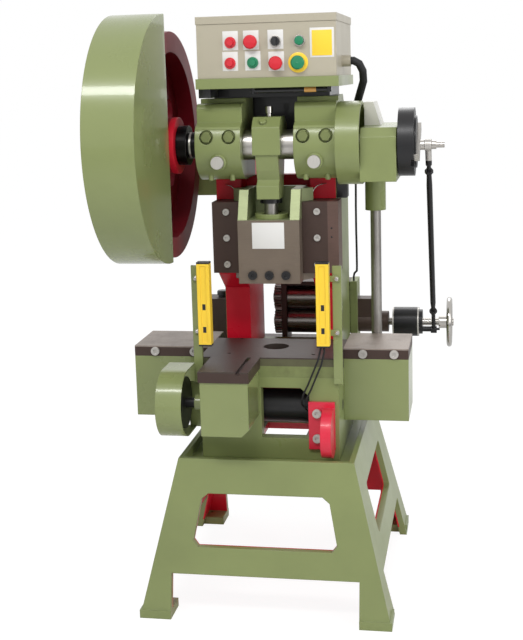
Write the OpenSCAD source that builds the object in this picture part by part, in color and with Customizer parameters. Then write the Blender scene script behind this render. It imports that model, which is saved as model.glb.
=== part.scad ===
// Button making press: open-back C-frame press with crank, slide, roll feed and light curtain.
// Millimetres, +X right, +Y to the back, +Z up. Origin on the floor, midway between the anchor holes.

/* [Press frame] */
// Height of the crank axis above the table
crank_rise = 630; // [605:1:655]
// Crank plane, measured from the middle of the stand, towards the back
press_y = -85; // [-95:1:-75]
// Height of the table top above the stand
bed_h = 290; // [280:1:300]
// Clear gap between the two cheeks
cheek_gap = 216; // [212:1:224]
// Thickness of one cheek
cheek_t = 81; // [70:1:90]
// Throat depth, from the slide centre to the cheeks
throat_d = 150; // [140:1:160]
// Back of the frame behind the crank plane
frame_back = 400; // [380:1:420]
// Clear height from the table to the head
throat_h = 220; // [205:1:235]
// Height of the head above the crank axis
head_rise = 140; // [125:1:150]
// Thickness of the webs that join the cheeks
web_t = 45; // [35:1:55]

/* [Bed and table] */
// Width of the bed and of the bolster
bed_w = 424; // [410:1:440]
// Front of the bed before the crank plane
bed_front = 150; // [140:1:160]
// Thickness of the bolster plate
bolster_t = 60; // [50:1:70]
// Wall of the bed
bed_wall = 38; // [30:1:44]
// Radius of the drop hole in the bolster
drop_r = 40; // [30:1:50]
// Spacing of the tool screws across the bolster
tool_sx = 260; // [220:1:280]
// Spacing of the tool screws along the bolster
tool_sy = 200; // [180:1:220]
// Radius of the tool screw holes
tool_r = 6; // [5:0.5:8]
// Left wing, from the bed outward
wing_left = 243; // [230:1:260]
// Right wing, from the bed outward
wing_right = 200; // [190:1:215]
// Depth of the wings, front to back
wing_d = 220; // [200:1:221]
// Front edge of the wings before the crank plane
wing_front = 15; // [14:1:30]
// Height of the wing boxes with their plates
wing_h = 228; // [210:1:240]
// Thickness of the wing plates and the front plate
plate_t = 33; // [26:1:38]
// Sheet thickness of the boxes
sheet_t = 6; // [4:0.5:9]

/* [Stand] */
// Height of the stand
stand_h = 475; // [455:1:490]
// Width of the stand at the floor
stand_w = 758; // [730:1:790]
// Depth of the stand at the floor
stand_d = 860; // [840:1:890]
// Width of the stand at the top
stand_top_w = 530; // [515:1:560]
// Depth of the stand at the top
stand_top_d = 670; // [655:1:690]
// Wall of the stand
stand_wall = 24; // [18:1:30]
// Width of one foot at the floor
foot_w = 96; // [85:1:110]
// Height of the foot pads
foot_h = 26; // [20:1:32]
// Anchor hole spacing across
anchor_sx = 680; // [660:1:690]
// Anchor hole spacing front to back
anchor_sy = 780; // [760:1:790]
// Anchor hole radius
anchor_r = 9; // [7:0.5:11]

/* [Crank and slide] */
// Crank throw
throw = 23; // [21:0.5:24]
// Crankpin radius
pin_r = 45; // [42:0.5:47]
// Main journal radius
journal_r = 40; // [36:0.5:44]
// Wall of the main bushes
bush_t = 8; // [6:0.5:9]
// Radius of the bearing barrels
barrel_r = 105; // [98:1:108]
// Width of the left bearing
barrel_left_w = 138; // [132:1:142]
// Width of the right bearing
barrel_right_w = 124; // [118:1:124]
// Distance of both bearings from the middle
barrel_x = 145; // [143:1:147]
// Width of the connecting rod head
rod_w = 84; // [78:1:88]
// Width of the connecting rod shank
shank_w = 68; // [62:1:72]
// Distance from the crankpin to the shank foot
rod_len = 160; // [154:1:166]
// Distance from the crankpin to the ball
ball_drop = 272; // [266:1:278]
// Radius of the ball
ball_r = 30; // [27:0.5:32]
// Radius of the adjusting screw
screw_r = 21; // [18:0.5:22]
// Width of the slide
slide_w = 188; // [184:1:192]
// Depth of the slide
slide_d = 180; // [176:1:184]
// Height from the table to the slide at mid stroke
shut_h = 215; // [209:1:225]
// Height of the slide block
slide_h = 193; // [185:1:200]
// Height of the slide cheeks above the block
slide_ears = 88; // [80:1:92]
// Width of the pocket for the rod
pocket_w = 130; // [124:1:134]
// Depth of the slide guide rails
rail_d = 30; // [24:1:34]
// Running clearance of the slide guides
gib_gap = 0.2; // [0.1:0.05:0.3]
// Radius of the shank hole
shank_r = 20; // [18:0.5:22]
// Depth of the shank hole
shank_d = 60; // [50:1:65]

/* [Flywheel and motor] */
// Flywheel radius
fly_r = 345; // [330:1:350]
// Flywheel width
fly_w = 137; // [130:1:140]
// Left face of the flywheel, from the middle
fly_left = 440; // [435:1:446]
// Thickness of the flywheel rim
rim_t = 62; // [50:1:70]
// Guard radius
guard_r = 371; // [368:1:378]
// Room between the flywheel's faces and its guard
guard_room = 7; // [6:0.5:9]
// Sheet thickness of the guards
guard_t = 3; // [2:0.5:4]
// Motor shaft above the table
motor_rise = 535; // [515:1:545]
// Motor body radius
motor_r = 86; // [80:1:90]
// Motor pulley radius
motor_pulley_r = 52; // [46:1:58]

/* [Side drive and roll feed] */
// Radius of the gear drum on the right
drum_r = 124; // [118:1:128]
// Right end of the gear box
gearbox_end = 384; // [376:1:390]
// Vertical shaft, from the middle to the right
post_x = 296; // [290:1:304]
// Vertical shaft behind the crank plane
post_y = 224; // [223:1:228]
// Radius of the vertical shaft
post_r = 17; // [15:0.5:17]
// Radius of the feed disc
disc_r = 101; // [94:1:106]
// Throw of the feed stud
feed_throw = 16; // [14:0.5:17]
// Length of the clutch arm
arm_len = 34; // [32:0.5:38]
// Feed rolls behind the crank plane
feed_y = 456; // [450:1:462]
// Lower feed roll below the table top
feed_drop = 13; // [7:1:19]
// Number of teeth of the roll gears
teeth = 21; // [18:1:24]
// Module of the roll gears
tooth_module = 4; // [3.5:0.25:4]
// Radius of the handwheel
wheel_r = 85; // [78:1:90]

/* [Controls and safety] */
// Width of the control box
box_w = 410; // [395:1:420]
// Depth of the control box
box_d = 400; // [380:1:410]
// Height of the control box
box_h = 178; // [172:1:190]
// Underside of the control box above the crank axis
box_rise = 200; // [195:1:210]
// Travel of the push buttons
press_travel = 4; // [3:0.5:5]
// Length of the light-curtain bars
curtain_len = 254; // [240:1:265]
// Width of the light-curtain bars
curtain_w = 38; // [32:1:42]

/* [Hidden] */
$fn = 64;
green = [0.52, 0.60, 0.38];
red = [0.69, 0.09, 0.15];
steel = [0.62, 0.60, 0.57];
dark_steel = [0.40, 0.35, 0.32];
black = [0.10, 0.10, 0.11];
beige = [0.82, 0.80, 0.72];
yellow = [0.95, 0.80, 0.22];
bronze = [0.72, 0.52, 0.26];
lamp_red = [0.75, 0.10, 0.10];
button_green = [0.10, 0.50, 0.20];

// Clearances
cut = 1;
run_gap = 0.05;
pin_gap = 0.15;
free_gap = 0.4;

// Heights above the floor
table_z = stand_h + bed_h;
crank_z = table_z + crank_rise;
head_low = table_z + throat_h;
slide_low = table_z + shut_h;
motor_z = table_z + motor_rise;
feed_z = table_z - feed_drop;
box_low = crank_z + box_rise;

// Derived places in the press frame, where Y is measured from the crank plane
cheek_in = cheek_gap / 2;
cheek_out = cheek_in + cheek_t;
bed_half = bed_w / 2;
bed_top = table_z - bolster_t;
guide_y = 62;
saddle_y = 20;
shelf_rise = 50;
wing_low = table_z - wing_h;
wing_back = wing_d - wing_front;
left_in = -barrel_x + barrel_left_w / 2;
left_out = -barrel_x - barrel_left_w / 2;
right_in = barrel_x - barrel_right_w / 2;
right_out = barrel_x + barrel_right_w / 2;
slide_half = slide_w / 2;
slide_top = slide_low + slide_h;
ears_top = slide_top + slide_ears;
crank_swing = 60;
rod_y = -throw;
ball_z = crank_z - ball_drop;
ball_y = rod_y + throw * (1 - cos(crank_swing)) / 2;
swing_room = throw * (1 - cos(crank_swing)) / 2 + 2;
lift_room = 3;
rail_mid = 15;
rail_half = 35;

// Pull rod line, from the crank axis to the feed roll axis
pull_span = norm([feed_y, feed_z - crank_z]);
pull_dir = [feed_y, feed_z - crank_z] / pull_span;
pull_side = [pull_dir[1], -pull_dir[0]];
stud_top = [0, crank_z] + feed_throw * pull_side;
stud_low = [feed_y, feed_z] + arm_len * pull_side;
arm_swing = asin(feed_throw * sin(crank_swing) / arm_len);
arm_shift = feed_throw * (1 - cos(crank_swing)) - arm_len * (1 - cos(arm_swing));
pull_eye = stud_low + (arm_shift / 2) * pull_side;
pull_len = norm(pull_eye - stud_top);
pull_tilt = atan2(pull_eye[0] - stud_top[0], stud_top[1] - pull_eye[1]);
roll_pitch = tooth_module * teeth;
roll_r = roll_pitch / 2 - free_gap / 2;
pull_x = 473;
arm_stud_r = 4;
eye_slack = 1.4;
eye_room = arm_shift / 2 + eye_slack;

// Places of the controls on the box face: X from the middle and height above the box underside
lamp_places = [[-92, 102], [-94, 43], [-27, 43]];
stop_places = [[-31, 102], [42, 40]];
start_places = [[111, 102], [106, 40]];
selector_place = [41, 102];
box_front = -120;
box_mid = 12;

// Moves the press into the frame of the stand
module at_press() {
    translate([0, press_y, 0]) children();
}

// Cylinders along the three axes, given by their two ends
module xcyl(r, x0, x1, y = 0, z = 0) {
    translate([x0, y, z]) rotate([0, 90, 0]) cylinder(r = r, h = x1 - x0);
}

module ycyl(r, y0, y1, x = 0, z = 0) {
    translate([x, y1, z]) rotate([90, 0, 0]) cylinder(r = r, h = y1 - y0);
}

module zcyl(r, z0, z1, x = 0, y = 0) {
    translate([x, y, z0]) cylinder(r = r, h = z1 - z0);
}

// Block given by its two corners
module block(low, high) {
    translate(low) cube(high - low);
}

// Side view outline (Y, Z) extruded across, and front view outline (X, Z) extruded to the back
module across(x0, x1) {
    translate([x0, 0, 0]) rotate([90, 0, 90]) linear_extrude(height = x1 - x0) children();
}

module along(y0, y1) {
    translate([0, y1, 0]) rotate([90, 0, 0]) linear_extrude(height = y1 - y0) children();
}

// Flat trapezoid with its lower and upper widths
module trapezoid(low_w, high_w, low_z, high_z) {
    polygon([[-low_w / 2, low_z], [low_w / 2, low_z], [high_w / 2, high_z], [-high_w / 2, high_z]]);
}

// Rectangle with round corners
module soft_rect(x0, x1, z0, z1, r) {
    translate([x0 + r, z0]) square([x1 - x0 - 2 * r, z1 - z0]);
    translate([x0, z0 + r]) square([x1 - x0, z1 - z0 - 2 * r]);
    for (x = [x0 + r, x1 - r], z = [z0 + r, z1 - r]) translate([x, z]) circle(r);
}

// Window outline that narrows towards its top, with cut corners
module cut_trapezoid(low_half, top_half, z0, z1, c) {
    lean = (low_half - top_half) / (z1 - z0) * c;
    polygon([[low_half - c, z0], [low_half - lean, z0 + c], [top_half + lean, z1 - c], [top_half - c, z1],
        [c - top_half, z1], [-top_half - lean, z1 - c], [lean - low_half, z0 + c], [c - low_half, z0]]);
}

// Stand: sloped casting with windows in all four sides and a tray on top
window_top = 101;
window_low = 216;
beam_low = 136;
window_r = 18;
window_half = [220, 190];
side_window_w = 440;
tray_lip = 16;
tray_deep = 26;

function stand_width(z) = stand_w + (stand_top_w - stand_w) * z / stand_h;
function stand_depth(z) = stand_d + (stand_top_d - stand_d) * z / stand_h;

module pyramid(inset, z0, z1) {
    intersection() {
        along(-stand_d, stand_d)
            trapezoid(stand_width(z0) - 2 * inset, stand_width(z1) - 2 * inset, z0, z1);
        across(-stand_w, stand_w)
            trapezoid(stand_depth(z0) - 2 * inset, stand_depth(z1) - 2 * inset, z0, z1);
    }
}

module stand() {
    color(green) difference() {
        union() {
            difference() {
                pyramid(0, 0, stand_h);
                pyramid(stand_wall, -cut, stand_h - tray_deep - stand_wall);
                block([-stand_w, -stand_d / 2 + foot_w + stand_wall, -cut],
                    [stand_w, stand_d / 2 - foot_w - stand_wall, beam_low]);
                block([-stand_w / 2 + foot_w, -stand_d, -cut], [stand_w / 2 - foot_w, stand_d, beam_low]);
                along(-stand_d, stand_d)
                    cut_trapezoid(window_half[0], window_half[1], window_low, stand_h - window_top, window_r);
                across(-stand_w, stand_w) soft_rect(-side_window_w / 2, side_window_w / 2, window_low,
                    stand_h - window_top, window_r);
            }
            for (x = [-1, 1], y = [-1, 1])
                block([x * stand_w / 2 - (x > 0 ? foot_w : 0), y * stand_d / 2 - (y > 0 ? foot_w : 0), 0],
                    [x * stand_w / 2 + (x > 0 ? 0 : foot_w), y * stand_d / 2 + (y > 0 ? 0 : foot_w), foot_h]);
        }
        pyramid_tray();
        for (x = [-1, 1], y = [-1, 1])
            zcyl(anchor_r, -cut, foot_h + cut, x * anchor_sx / 2, y * anchor_sy / 2);
    }
}

// Shallow tray on the stand's top and the chute hole below the bed
chute_w = 150;
chute_d = 300;

module pyramid_tray() {
    block([-stand_top_w / 2 + tray_lip, -stand_top_d / 2 + tray_lip, stand_h - tray_deep],
        [stand_top_w / 2 - tray_lip, stand_top_d / 2 - tray_lip, stand_h + cut]);
    block([-chute_w / 2, -chute_d / 2, 0], [chute_w / 2, chute_d / 2, stand_h]);
}

// Press frame: cheeks, bed box, webs and bearing saddles in one casting
bed_low = stand_h - tray_deep;
bed_window = [-25, 122];
bed_window_drop = [190, 33];
bed_window_z = [bed_top - bed_window_drop[0], bed_top - bed_window_drop[1]];
bed_chamfer = 26;
throat_r = 40;
back_slope = 110;
bed_floor_t = 45;
drum_drop = 109;
drum_z = bed_top - drum_drop;
drum_y = -50;
drum_shaft_r = 18;
front_top_y = -62;
saddle_back = 130;
guide_step = 6;
drop_room = 8;
head_slope = 60;
back_edge = 20;
saddle_edge = 20;
saddle_step = 14;
shelf_slope = 20;
web_set = 40;
front_rise = head_rise - saddle_step;
web_window = [90, -105, -40];

module cheek_outline() {
    polygon([[-bed_front, bed_low], [frame_back, bed_low], [frame_back, crank_z + back_edge],
        [frame_back - back_slope, crank_z + head_rise], [saddle_y, crank_z + head_rise],
        [saddle_y, crank_z - barrel_r], [guide_y, crank_z - barrel_r - guide_step], [guide_y, head_low],
        [throat_d, head_low - head_slope], [throat_d, bed_top], [-bed_front, bed_top]]);
    translate([throat_d, bed_top]) difference() {
        translate([-throat_r, 0]) square(throat_r);
        translate([-throat_r, throat_r]) circle(throat_r);
    }
}

module saddle_outline() {
    difference() {
        union() {
            translate([0, crank_z]) difference() {
                circle(barrel_r);
                polygon([[-barrel_r, shelf_rise], [front_top_y, shelf_rise + shelf_slope],
                    [front_top_y, barrel_r + cut], [-barrel_r, barrel_r + cut]]);
            }
            translate([front_top_y + saddle_edge, crank_z + shelf_rise])
                square([saddle_y - front_top_y - saddle_edge, front_rise - shelf_rise]);
            translate([front_top_y, crank_z + shelf_rise])
                square([2 * saddle_edge, front_rise - shelf_rise - saddle_edge]);
            translate([front_top_y + saddle_edge, crank_z + front_rise - saddle_edge]) circle(saddle_edge);
            translate([0, crank_z + shelf_rise]) square([saddle_back, head_rise - shelf_rise]);
            translate([0, crank_z - barrel_r]) square([saddle_back, barrel_r + shelf_rise]);
        }
        translate([-barrel_r - cut, crank_z - barrel_r - cut])
            square([barrel_r + cut, barrel_r + shelf_rise + cut]);
    }
}

module press_frame() {
    color(green) at_press() difference() {
        union() {
            for (side = [-1, 1]) {
                mirror([side < 0 ? 1 : 0, 0, 0]) across(cheek_in, cheek_out) cheek_outline();
            }
            across(left_out, left_in) saddle_outline();
            across(right_in, right_out) saddle_outline();
            // Bed box
            difference() {
                block([-bed_half, -bed_front, bed_low], [bed_half, frame_back, bed_top]);
                block([-bed_half + bed_wall, -bed_front + bed_wall, bed_low - cut],
                    [bed_half - bed_wall, frame_back - bed_wall, bed_top - bed_floor_t]);
            }
            // Webs between the cheeks
            block([-cheek_in - cut, throat_d, head_low + web_set],
                [cheek_in + cut, throat_d + web_t, crank_z + head_rise - web_set]);
            block([-cheek_in - cut, throat_d, crank_z + head_rise - web_set - web_t],
                [cheek_in + cut, frame_back - back_slope, crank_z + head_rise - web_set]);
        }
        // Window in the web behind the crank
        block([-web_window[0], throat_d - cut, crank_z + web_window[1]],
            [web_window[0], throat_d + web_t + cut, crank_z + web_window[2]]);
        // Bed windows, front and back
        along(-bed_front - cut, -bed_front + bed_wall + cut) polygon([[bed_window[0], bed_window_z[0]],
            [bed_window[1], bed_window_z[0]], [bed_window[1], bed_window_z[1] - bed_chamfer],
            [bed_window[1] - bed_chamfer, bed_window_z[1]], [bed_window[0], bed_window_z[1]]]);
        along(frame_back - bed_wall - cut, frame_back + cut)
            soft_rect(-bed_half / 2, bed_half / 2, bed_window_z[0], bed_window_z[1] - bed_chamfer, window_r);
        // Cheeks hollowed by the bed box
        block([-bed_half + bed_wall, -bed_front + bed_wall, bed_low - cut],
            [bed_half - bed_wall, frame_back - bed_wall, bed_top - bed_floor_t]);
        // Drop hole, bearing bores and drum bores
        zcyl(drop_r + drop_room, bed_top - bed_floor_t - cut, bed_top + cut);
        xcyl(journal_r + bush_t, left_out - cut, right_out + cut, 0, crank_z);
        for (side = [-1, 1]) {
            mirror([side < 0 ? 1 : 0, 0, 0])
                xcyl(drum_shaft_r + run_gap, bed_half - bed_wall - cut, bed_half + cut, drum_y, drum_z);
        }
    }
}

// Bolster plate with drop hole and tool screw holes
module bolster_plate() {
    color(dark_steel) at_press() difference() {
        block([-bed_half, -bed_front, bed_top], [bed_half, throat_d - throat_r, table_z]);
        zcyl(drop_r, bed_top - cut, table_z + cut);
        for (x = [-1, 1], y = [-1, 1])
            zcyl(tool_r, bed_top - cut, table_z + cut, x * tool_sx / 2, y * tool_sy / 2);
    }
}

// Wing boxes: folded sheet boxes open below, one on each side of the bed
module wing_shell(x0, x1) {
    difference() {
        block([x0, -wing_front, wing_low], [x1, wing_back, table_z - plate_t]);
        block([x0 + sheet_t, -wing_front + sheet_t, wing_low - cut],
            [x1 - sheet_t, wing_back - sheet_t, table_z - plate_t - sheet_t]);
    }
}

module wing_box_left() {
    color(green) at_press() wing_shell(-bed_half - wing_left, -bed_half);
}

// The right box also carries the foot bearing of the vertical shaft
step_rise = 53;
step_z = wing_low + step_rise;
step_r = 30;
step_h = 40;
step_floor = 10;

module wing_box_right() {
    color(green) at_press() {
        wing_shell(bed_half, bed_half + wing_right);
        difference() {
            union() {
                zcyl(step_r, step_z, step_z + step_h, post_x, post_y);
                block([post_x - step_r, wing_back, step_z], [post_x + step_r, post_y, step_z + step_h]);
            }
            zcyl(post_r + run_gap, step_z + step_floor, step_z + step_h + cut, post_x, post_y);
        }
    }
}

module wing_plate(x0, x1) {
    block([x0, -wing_front, table_z - plate_t], [x1, wing_back, table_z]);
}

module wing_plates() {
    color(dark_steel) at_press() {
        wing_plate(-bed_half - wing_left, -bed_half);
        wing_plate(bed_half, bed_half + wing_right);
    }
}

// Front box with its bevelled foot, and the plate on it
front_x = [-172, -30];
front_y = -330;
front_drop = 195;
front_low = table_z - front_drop;
front_bevel = 22;
front_lip = 4;
front_slot = [34, 22];
front_slot_d = 9;

module front_box() {
    color(green) at_press() difference() {
        along(front_y, -bed_front) polygon([[front_x[0], front_low], [front_x[1] - front_bevel, front_low],
            [front_x[1], front_low + front_bevel], [front_x[1], table_z - plate_t],
            [front_x[0], table_z - plate_t]]);
        block([front_x[0] + sheet_t, front_y + sheet_t, front_low + sheet_t],
            [front_x[1] - front_bevel - sheet_t, -bed_front + cut, table_z - plate_t - sheet_t]);
        xcyl(pulley_shaft_r + run_gap, front_x[0] - cut, front_x[0] + sheet_t + cut, pulley_y, pulley_z);
    }
    color(green) at_press() difference() {
        xcyl(pulley_boss_r, front_x[0] - pulley_boss, front_x[0], pulley_y, pulley_z);
        xcyl(pulley_shaft_r + run_gap, front_x[0] - pulley_boss - cut, front_x[0] + cut, pulley_y, pulley_z);
    }
}

module front_box_plate() {
    color(dark_steel) at_press() difference() {
        block([front_x[0] - front_lip, front_y - front_lip, table_z - plate_t],
            [front_x[1] + front_lip, -bed_front, table_z]);
        block([front_x[1] - front_slot[0], front_y - front_lip - cut, table_z - front_slot_d],
            [front_x[1] - front_slot[1], -bed_front + cut, table_z + cut]);
    }
}

// Small belt pulley at the front and its half-round guard
pulley_y = -240;
pulley_drop = 119;
pulley_z = table_z - pulley_drop;
pulley_r = 78;
pulley_x = [-296, -236];
pulley_shaft_r = 15;
pulley_boss = 34;
pulley_boss_r = 25;
front_guard_r = 100;
front_guard_x = [-306, -228];
front_guard_back = -bed_front - pulley_y;
guard_foot = 20;
guard_foot_gap = 4;
pulley_end = 4;
pulley_groove = [7, 18];
pulley_groove_w = 11;
pulley_groove_d = 9;
pulley_rim = 18;
pulley_dish = 22;
pulley_hub_r = 26;

module guard_shape(r, back) {
    circle(r);
    translate([0, -r]) square([back, 2 * r]);
}

module front_guard() {
    color(green) at_press() {
        translate([0, pulley_y, pulley_z]) difference() {
            across(front_guard_x[0], front_guard_x[1]) guard_shape(front_guard_r, front_guard_back);
            across(front_guard_x[0] + guard_t, front_guard_x[1] + cut)
                guard_shape(front_guard_r - guard_t, front_guard_back + cut);
        }
        // Foot that carries the guard on the bed
        block([front_guard_x[1] - guard_foot, -bed_front - guard_t, pulley_z - front_guard_r],
            [-bed_half + guard_foot, -bed_front, post_low - guard_foot_gap]);
    }
}

module front_pulley() {
    color(black) at_press() difference() {
        union() {
            xcyl(pulley_r, pulley_x[0], pulley_x[1], pulley_y, pulley_z);
            xcyl(pulley_shaft_r, pulley_x[1] - cut, front_x[0] + sheet_t + pulley_end, pulley_y, pulley_z);
        }
        for (k = [0, 1, 2])
            translate([pulley_x[0] + pulley_groove[0] + pulley_groove[1] * k, pulley_y, pulley_z])
                rotate([0, 90, 0]) difference() {
                    cylinder(r = pulley_r + cut, h = pulley_groove_w);
                    translate([0, 0, -cut])
                        cylinder(r = pulley_r - pulley_groove_d, h = pulley_groove_w + 2 * cut);
                }
        translate([pulley_x[0] - cut, pulley_y, pulley_z]) rotate([0, 90, 0]) difference() {
            cylinder(r = pulley_r - pulley_rim, h = pulley_dish);
            translate([0, 0, -cut]) cylinder(r = pulley_hub_r, h = pulley_dish + 2 * cut);
        }
    }
}

// Red hood bracket on the bed front: a plate with a D-shaped fin
hood_x = [120, 200];
hood_rise = [36, 183];
hood_z = [bed_low + hood_rise[0], bed_low + hood_rise[1]];
hood_t = 10;
hood_fin_x = [166, 198];
hood_fin_r = 74;
hood_fin_rise = 95;
hood_fin_z = bed_low + hood_fin_rise;
hood_reach = 96;
hood_wall = 5;

module hood_bracket() {
    color(red) at_press() difference() {
        union() {
            block([hood_x[0], -bed_front - hood_t, hood_z[0]], [hood_x[1], -bed_front, hood_z[1]]);
            across(hood_fin_x[0], hood_fin_x[1]) intersection() {
                translate([-bed_front - hood_t - hood_reach + hood_fin_r, hood_fin_z]) circle(hood_fin_r);
                translate([-bed_front - hood_t - hood_reach, hood_fin_z - hood_fin_r])
                    square([hood_reach + hood_t, 2 * hood_fin_r]);
            }
        }
        across(hood_fin_x[0] + hood_wall, hood_fin_x[1] - hood_wall) intersection() {
            translate([-bed_front - hood_t - hood_reach + hood_fin_r, hood_fin_z])
                circle(hood_fin_r - hood_wall);
            translate([-bed_front - hood_t - hood_reach, hood_fin_z - hood_fin_r])
                square([hood_reach, 2 * hood_fin_r]);
        }
    }
}

// Bearing caps: front halves of the bearing barrels, flat on top
plug_drop = 47;
plug_r = 19;
bolt_rise = 28;
bolt_pitch = 68;
bolt_r = 9;
spot_r = 2.3 * bolt_r;
spot_y = -88;
plug_out = 14;
plug_in = 60;
small_bolt_drop = 88;

module bearing_cap(x0, x1) {
    middle = (x0 + x1) / 2;
    difference() {
        across(x0, x1) difference() {
            translate([0, crank_z]) circle(barrel_r);
            translate([0, crank_z - barrel_r - cut]) square([barrel_r + cut, 2 * barrel_r + 2 * cut]);
            translate([-barrel_r - cut, crank_z + shelf_rise])
                square([barrel_r + 2 * cut, barrel_r]);
        }
        xcyl(journal_r + bush_t, x0 - cut, x1 + cut, 0, crank_z);
        for (x = [-1, 1]) {
            ycyl(spot_r, -barrel_r - cut, spot_y, middle + x * bolt_pitch / 2, crank_z + bolt_rise);
        }
    }
}

module bearing_cap_left() {
    color(green) at_press() bearing_cap(left_out, left_in);
}

module bearing_cap_right() {
    color(green) at_press() bearing_cap(right_in, right_out);
}

// Plugs of the two lubrication bores
module cap_plugs() {
    color(steel) at_press() difference() {
        for (x = [-barrel_x, barrel_x])
            ycyl(plug_r, -barrel_r - plug_out, -plug_in, x, crank_z - plug_drop);
        xcyl(barrel_r, -barrel_x * 2, barrel_x * 2, 0, crank_z);
    }
}

// Bronze main bushes
module main_bushes() {
    color(bronze) at_press() for (ends = [[left_out, left_in], [right_in, right_out]])
        difference() {
            xcyl(journal_r + bush_t, ends[0], ends[1], 0, crank_z);
            xcyl(journal_r + run_gap, ends[0] - cut, ends[1] + cut, 0, crank_z);
        }
}

// Gibs: guide blocks with a V groove for the slide rails
gib_rise = 23;
gib_h = 219;
gib_z = [slide_low + gib_rise, slide_low + gib_rise + gib_h];
gib_left_end = 184;
gib_right_end = 205;
gib_front = -32;

module gib(end) {
    translate([0, 0, gib_z[0]]) linear_extrude(height = gib_z[1] - gib_z[0]) polygon([
        [slide_half + gib_gap, gib_front], [end, gib_front], [end, guide_y],
        [slide_half + gib_gap, guide_y],
        [slide_half + gib_gap, rail_mid + rail_half + gib_gap],
        [slide_half + rail_d + gib_gap, rail_mid + gib_gap],
        [slide_half + rail_d + gib_gap, rail_mid - gib_gap],
        [slide_half + gib_gap, rail_mid - rail_half - gib_gap]]);
}

module gib_left() {
    color(dark_steel) at_press() mirror([1, 0, 0]) gib(gib_left_end);
}

module gib_right() {
    color(dark_steel) at_press() gib(gib_right_end);
}

// Bolts of the caps, gibs, wing plates and hood bracket
gib_bolt_rise = [212, 132, 50];
gib_bolt_z = [for (rise = gib_bolt_rise) slide_low + rise];
gib_bolt_r = 6;
gib_bolt_set = 16;
wing_screw_r = 8;
left_screws = [0.72, 0.2];
right_screws = [0.3, 0.78];
hood_bolt_set = 26;
washer_t = 3;
hood_bolt_in = [35, 34];
hood_bolt_z = [hood_z[0] + hood_bolt_in[0], hood_z[1] - hood_bolt_in[1]];

module frame_bolts() {
    color(steel) at_press() {
        for (middle = [(left_in + left_out) / 2, (right_in + right_out) / 2], x = [-1, 1])
            translate([middle + x * bolt_pitch / 2, spot_y, crank_z + bolt_rise]) hex_head(bolt_r);
        for (x = [-1, 1], z = gib_bolt_z)
            translate([x * (slide_half + rail_d + gib_bolt_set), gib_front, z]) button_head(gib_bolt_r);
        for (x = concat([for (share = left_screws) -bed_half - wing_left * share],
            [for (share = right_screws) bed_half + wing_right * share]))
            translate([x, -wing_front, table_z - plate_t / 2]) button_head(wing_screw_r);
        for (z = hood_bolt_z)
            translate([hood_x[0] + hood_bolt_set, -bed_front - hood_t, z]) button_head(wing_screw_r);
    }
}

// Hexagon head with washer, and a low round head
module hex_head(r) {
    rotate([90, 0, 0]) cylinder(r = 2 * r, h = washer_t);
    translate([0, -washer_t, 0]) rotate([90, 0, 0]) cylinder(r = 1.8 * r, h = 1.3 * r, $fn = 6);
}

module button_head(r) {
    rotate([90, 0, 0]) difference() {
        cylinder(r = 1.7 * r, h = r);
        translate([0, 0, r / 2]) cylinder(r = 0.8 * r, h = r, $fn = 6);
    }
}

// Flywheel guard: half drum in front, on an arm round the back
guard_cut = -92;
guard_up = 22;
guard_left = -fly_left - guard_room;
guard_right = guard_left + fly_w + 2 * guard_room;
guard_tab = 60;
arm_strap = 6;
arm_half = 12;
arm_room = 26;
arm_back = fly_r + arm_room;
arm_foot = 26;

module half_disc(r, end) {
    translate([guard_cut, guard_up]) intersection() {
        circle(r);
        translate([-r, -r]) square([r + end, 2 * r]);
    }
}

module flywheel_guard() {
    color(green) at_press() translate([0, 0, crank_z]) {
        difference() {
            across(guard_left, guard_right) half_disc(guard_r, 0);
            across(guard_left + guard_t, guard_right - guard_t) half_disc(guard_r - guard_t, cut);
        }
        // Arm to the left cheek
        block([guard_left - arm_strap, guard_cut - guard_tab, -arm_half],
            [guard_left, arm_back + arm_strap, arm_half]);
        block([guard_left - arm_strap, arm_back, -arm_half], [-cheek_out, arm_back + arm_strap, arm_half]);
        block([-cheek_out - arm_strap, arm_back, -arm_half], [-cheek_out, arm_back + arm_foot, arm_half]);
    }
}

// Flywheel: spoked by a web with round windows, three belt grooves on the rim
hub_r = 86;
hub_right = -285;
fly_web_t = 30;
groove_w = 13;
groove_d = 10;
groove_pitch = 24;
groove_set = 16;
groove_first = -fly_left + groove_set;
fly_window_r = 48;
fly_windows = 6;
fly_bore_r = 40;

module rim_groove(r, x) {
    translate([x, 0, 0]) rotate([0, 90, 0]) difference() {
        cylinder(r = r + cut, h = groove_w);
        translate([0, 0, -cut]) cylinder(r = r - groove_d, h = groove_w + 2 * cut);
    }
}

module flywheel() {
    web_mid = -fly_left + fly_w / 2;
    color(red) at_press() translate([0, 0, crank_z]) difference() {
        union() {
            xcyl(fly_r, -fly_left, -fly_left + fly_w);
            xcyl(hub_r, -fly_left, hub_right);
        }
        for (face = [[-fly_left - cut, web_mid - fly_web_t / 2],
            [web_mid + fly_web_t / 2, -fly_left + fly_w + cut]])
            difference() {
                xcyl(fly_r - rim_t, face[0], face[1]);
                xcyl(hub_r, face[0] - cut, face[1] + cut);
            }
        for (k = [0 : fly_windows - 1])
            rotate([360 / fly_windows * k, 0, 0])
                xcyl(fly_window_r, -fly_left, 0, 0, (hub_r + fly_r - rim_t) / 2);
        for (k = [0, 1, 2]) rim_groove(fly_r, groove_first + groove_pitch * k);
        xcyl(fly_bore_r + run_gap, -fly_left - cut, hub_right + cut);
    }
}

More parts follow.
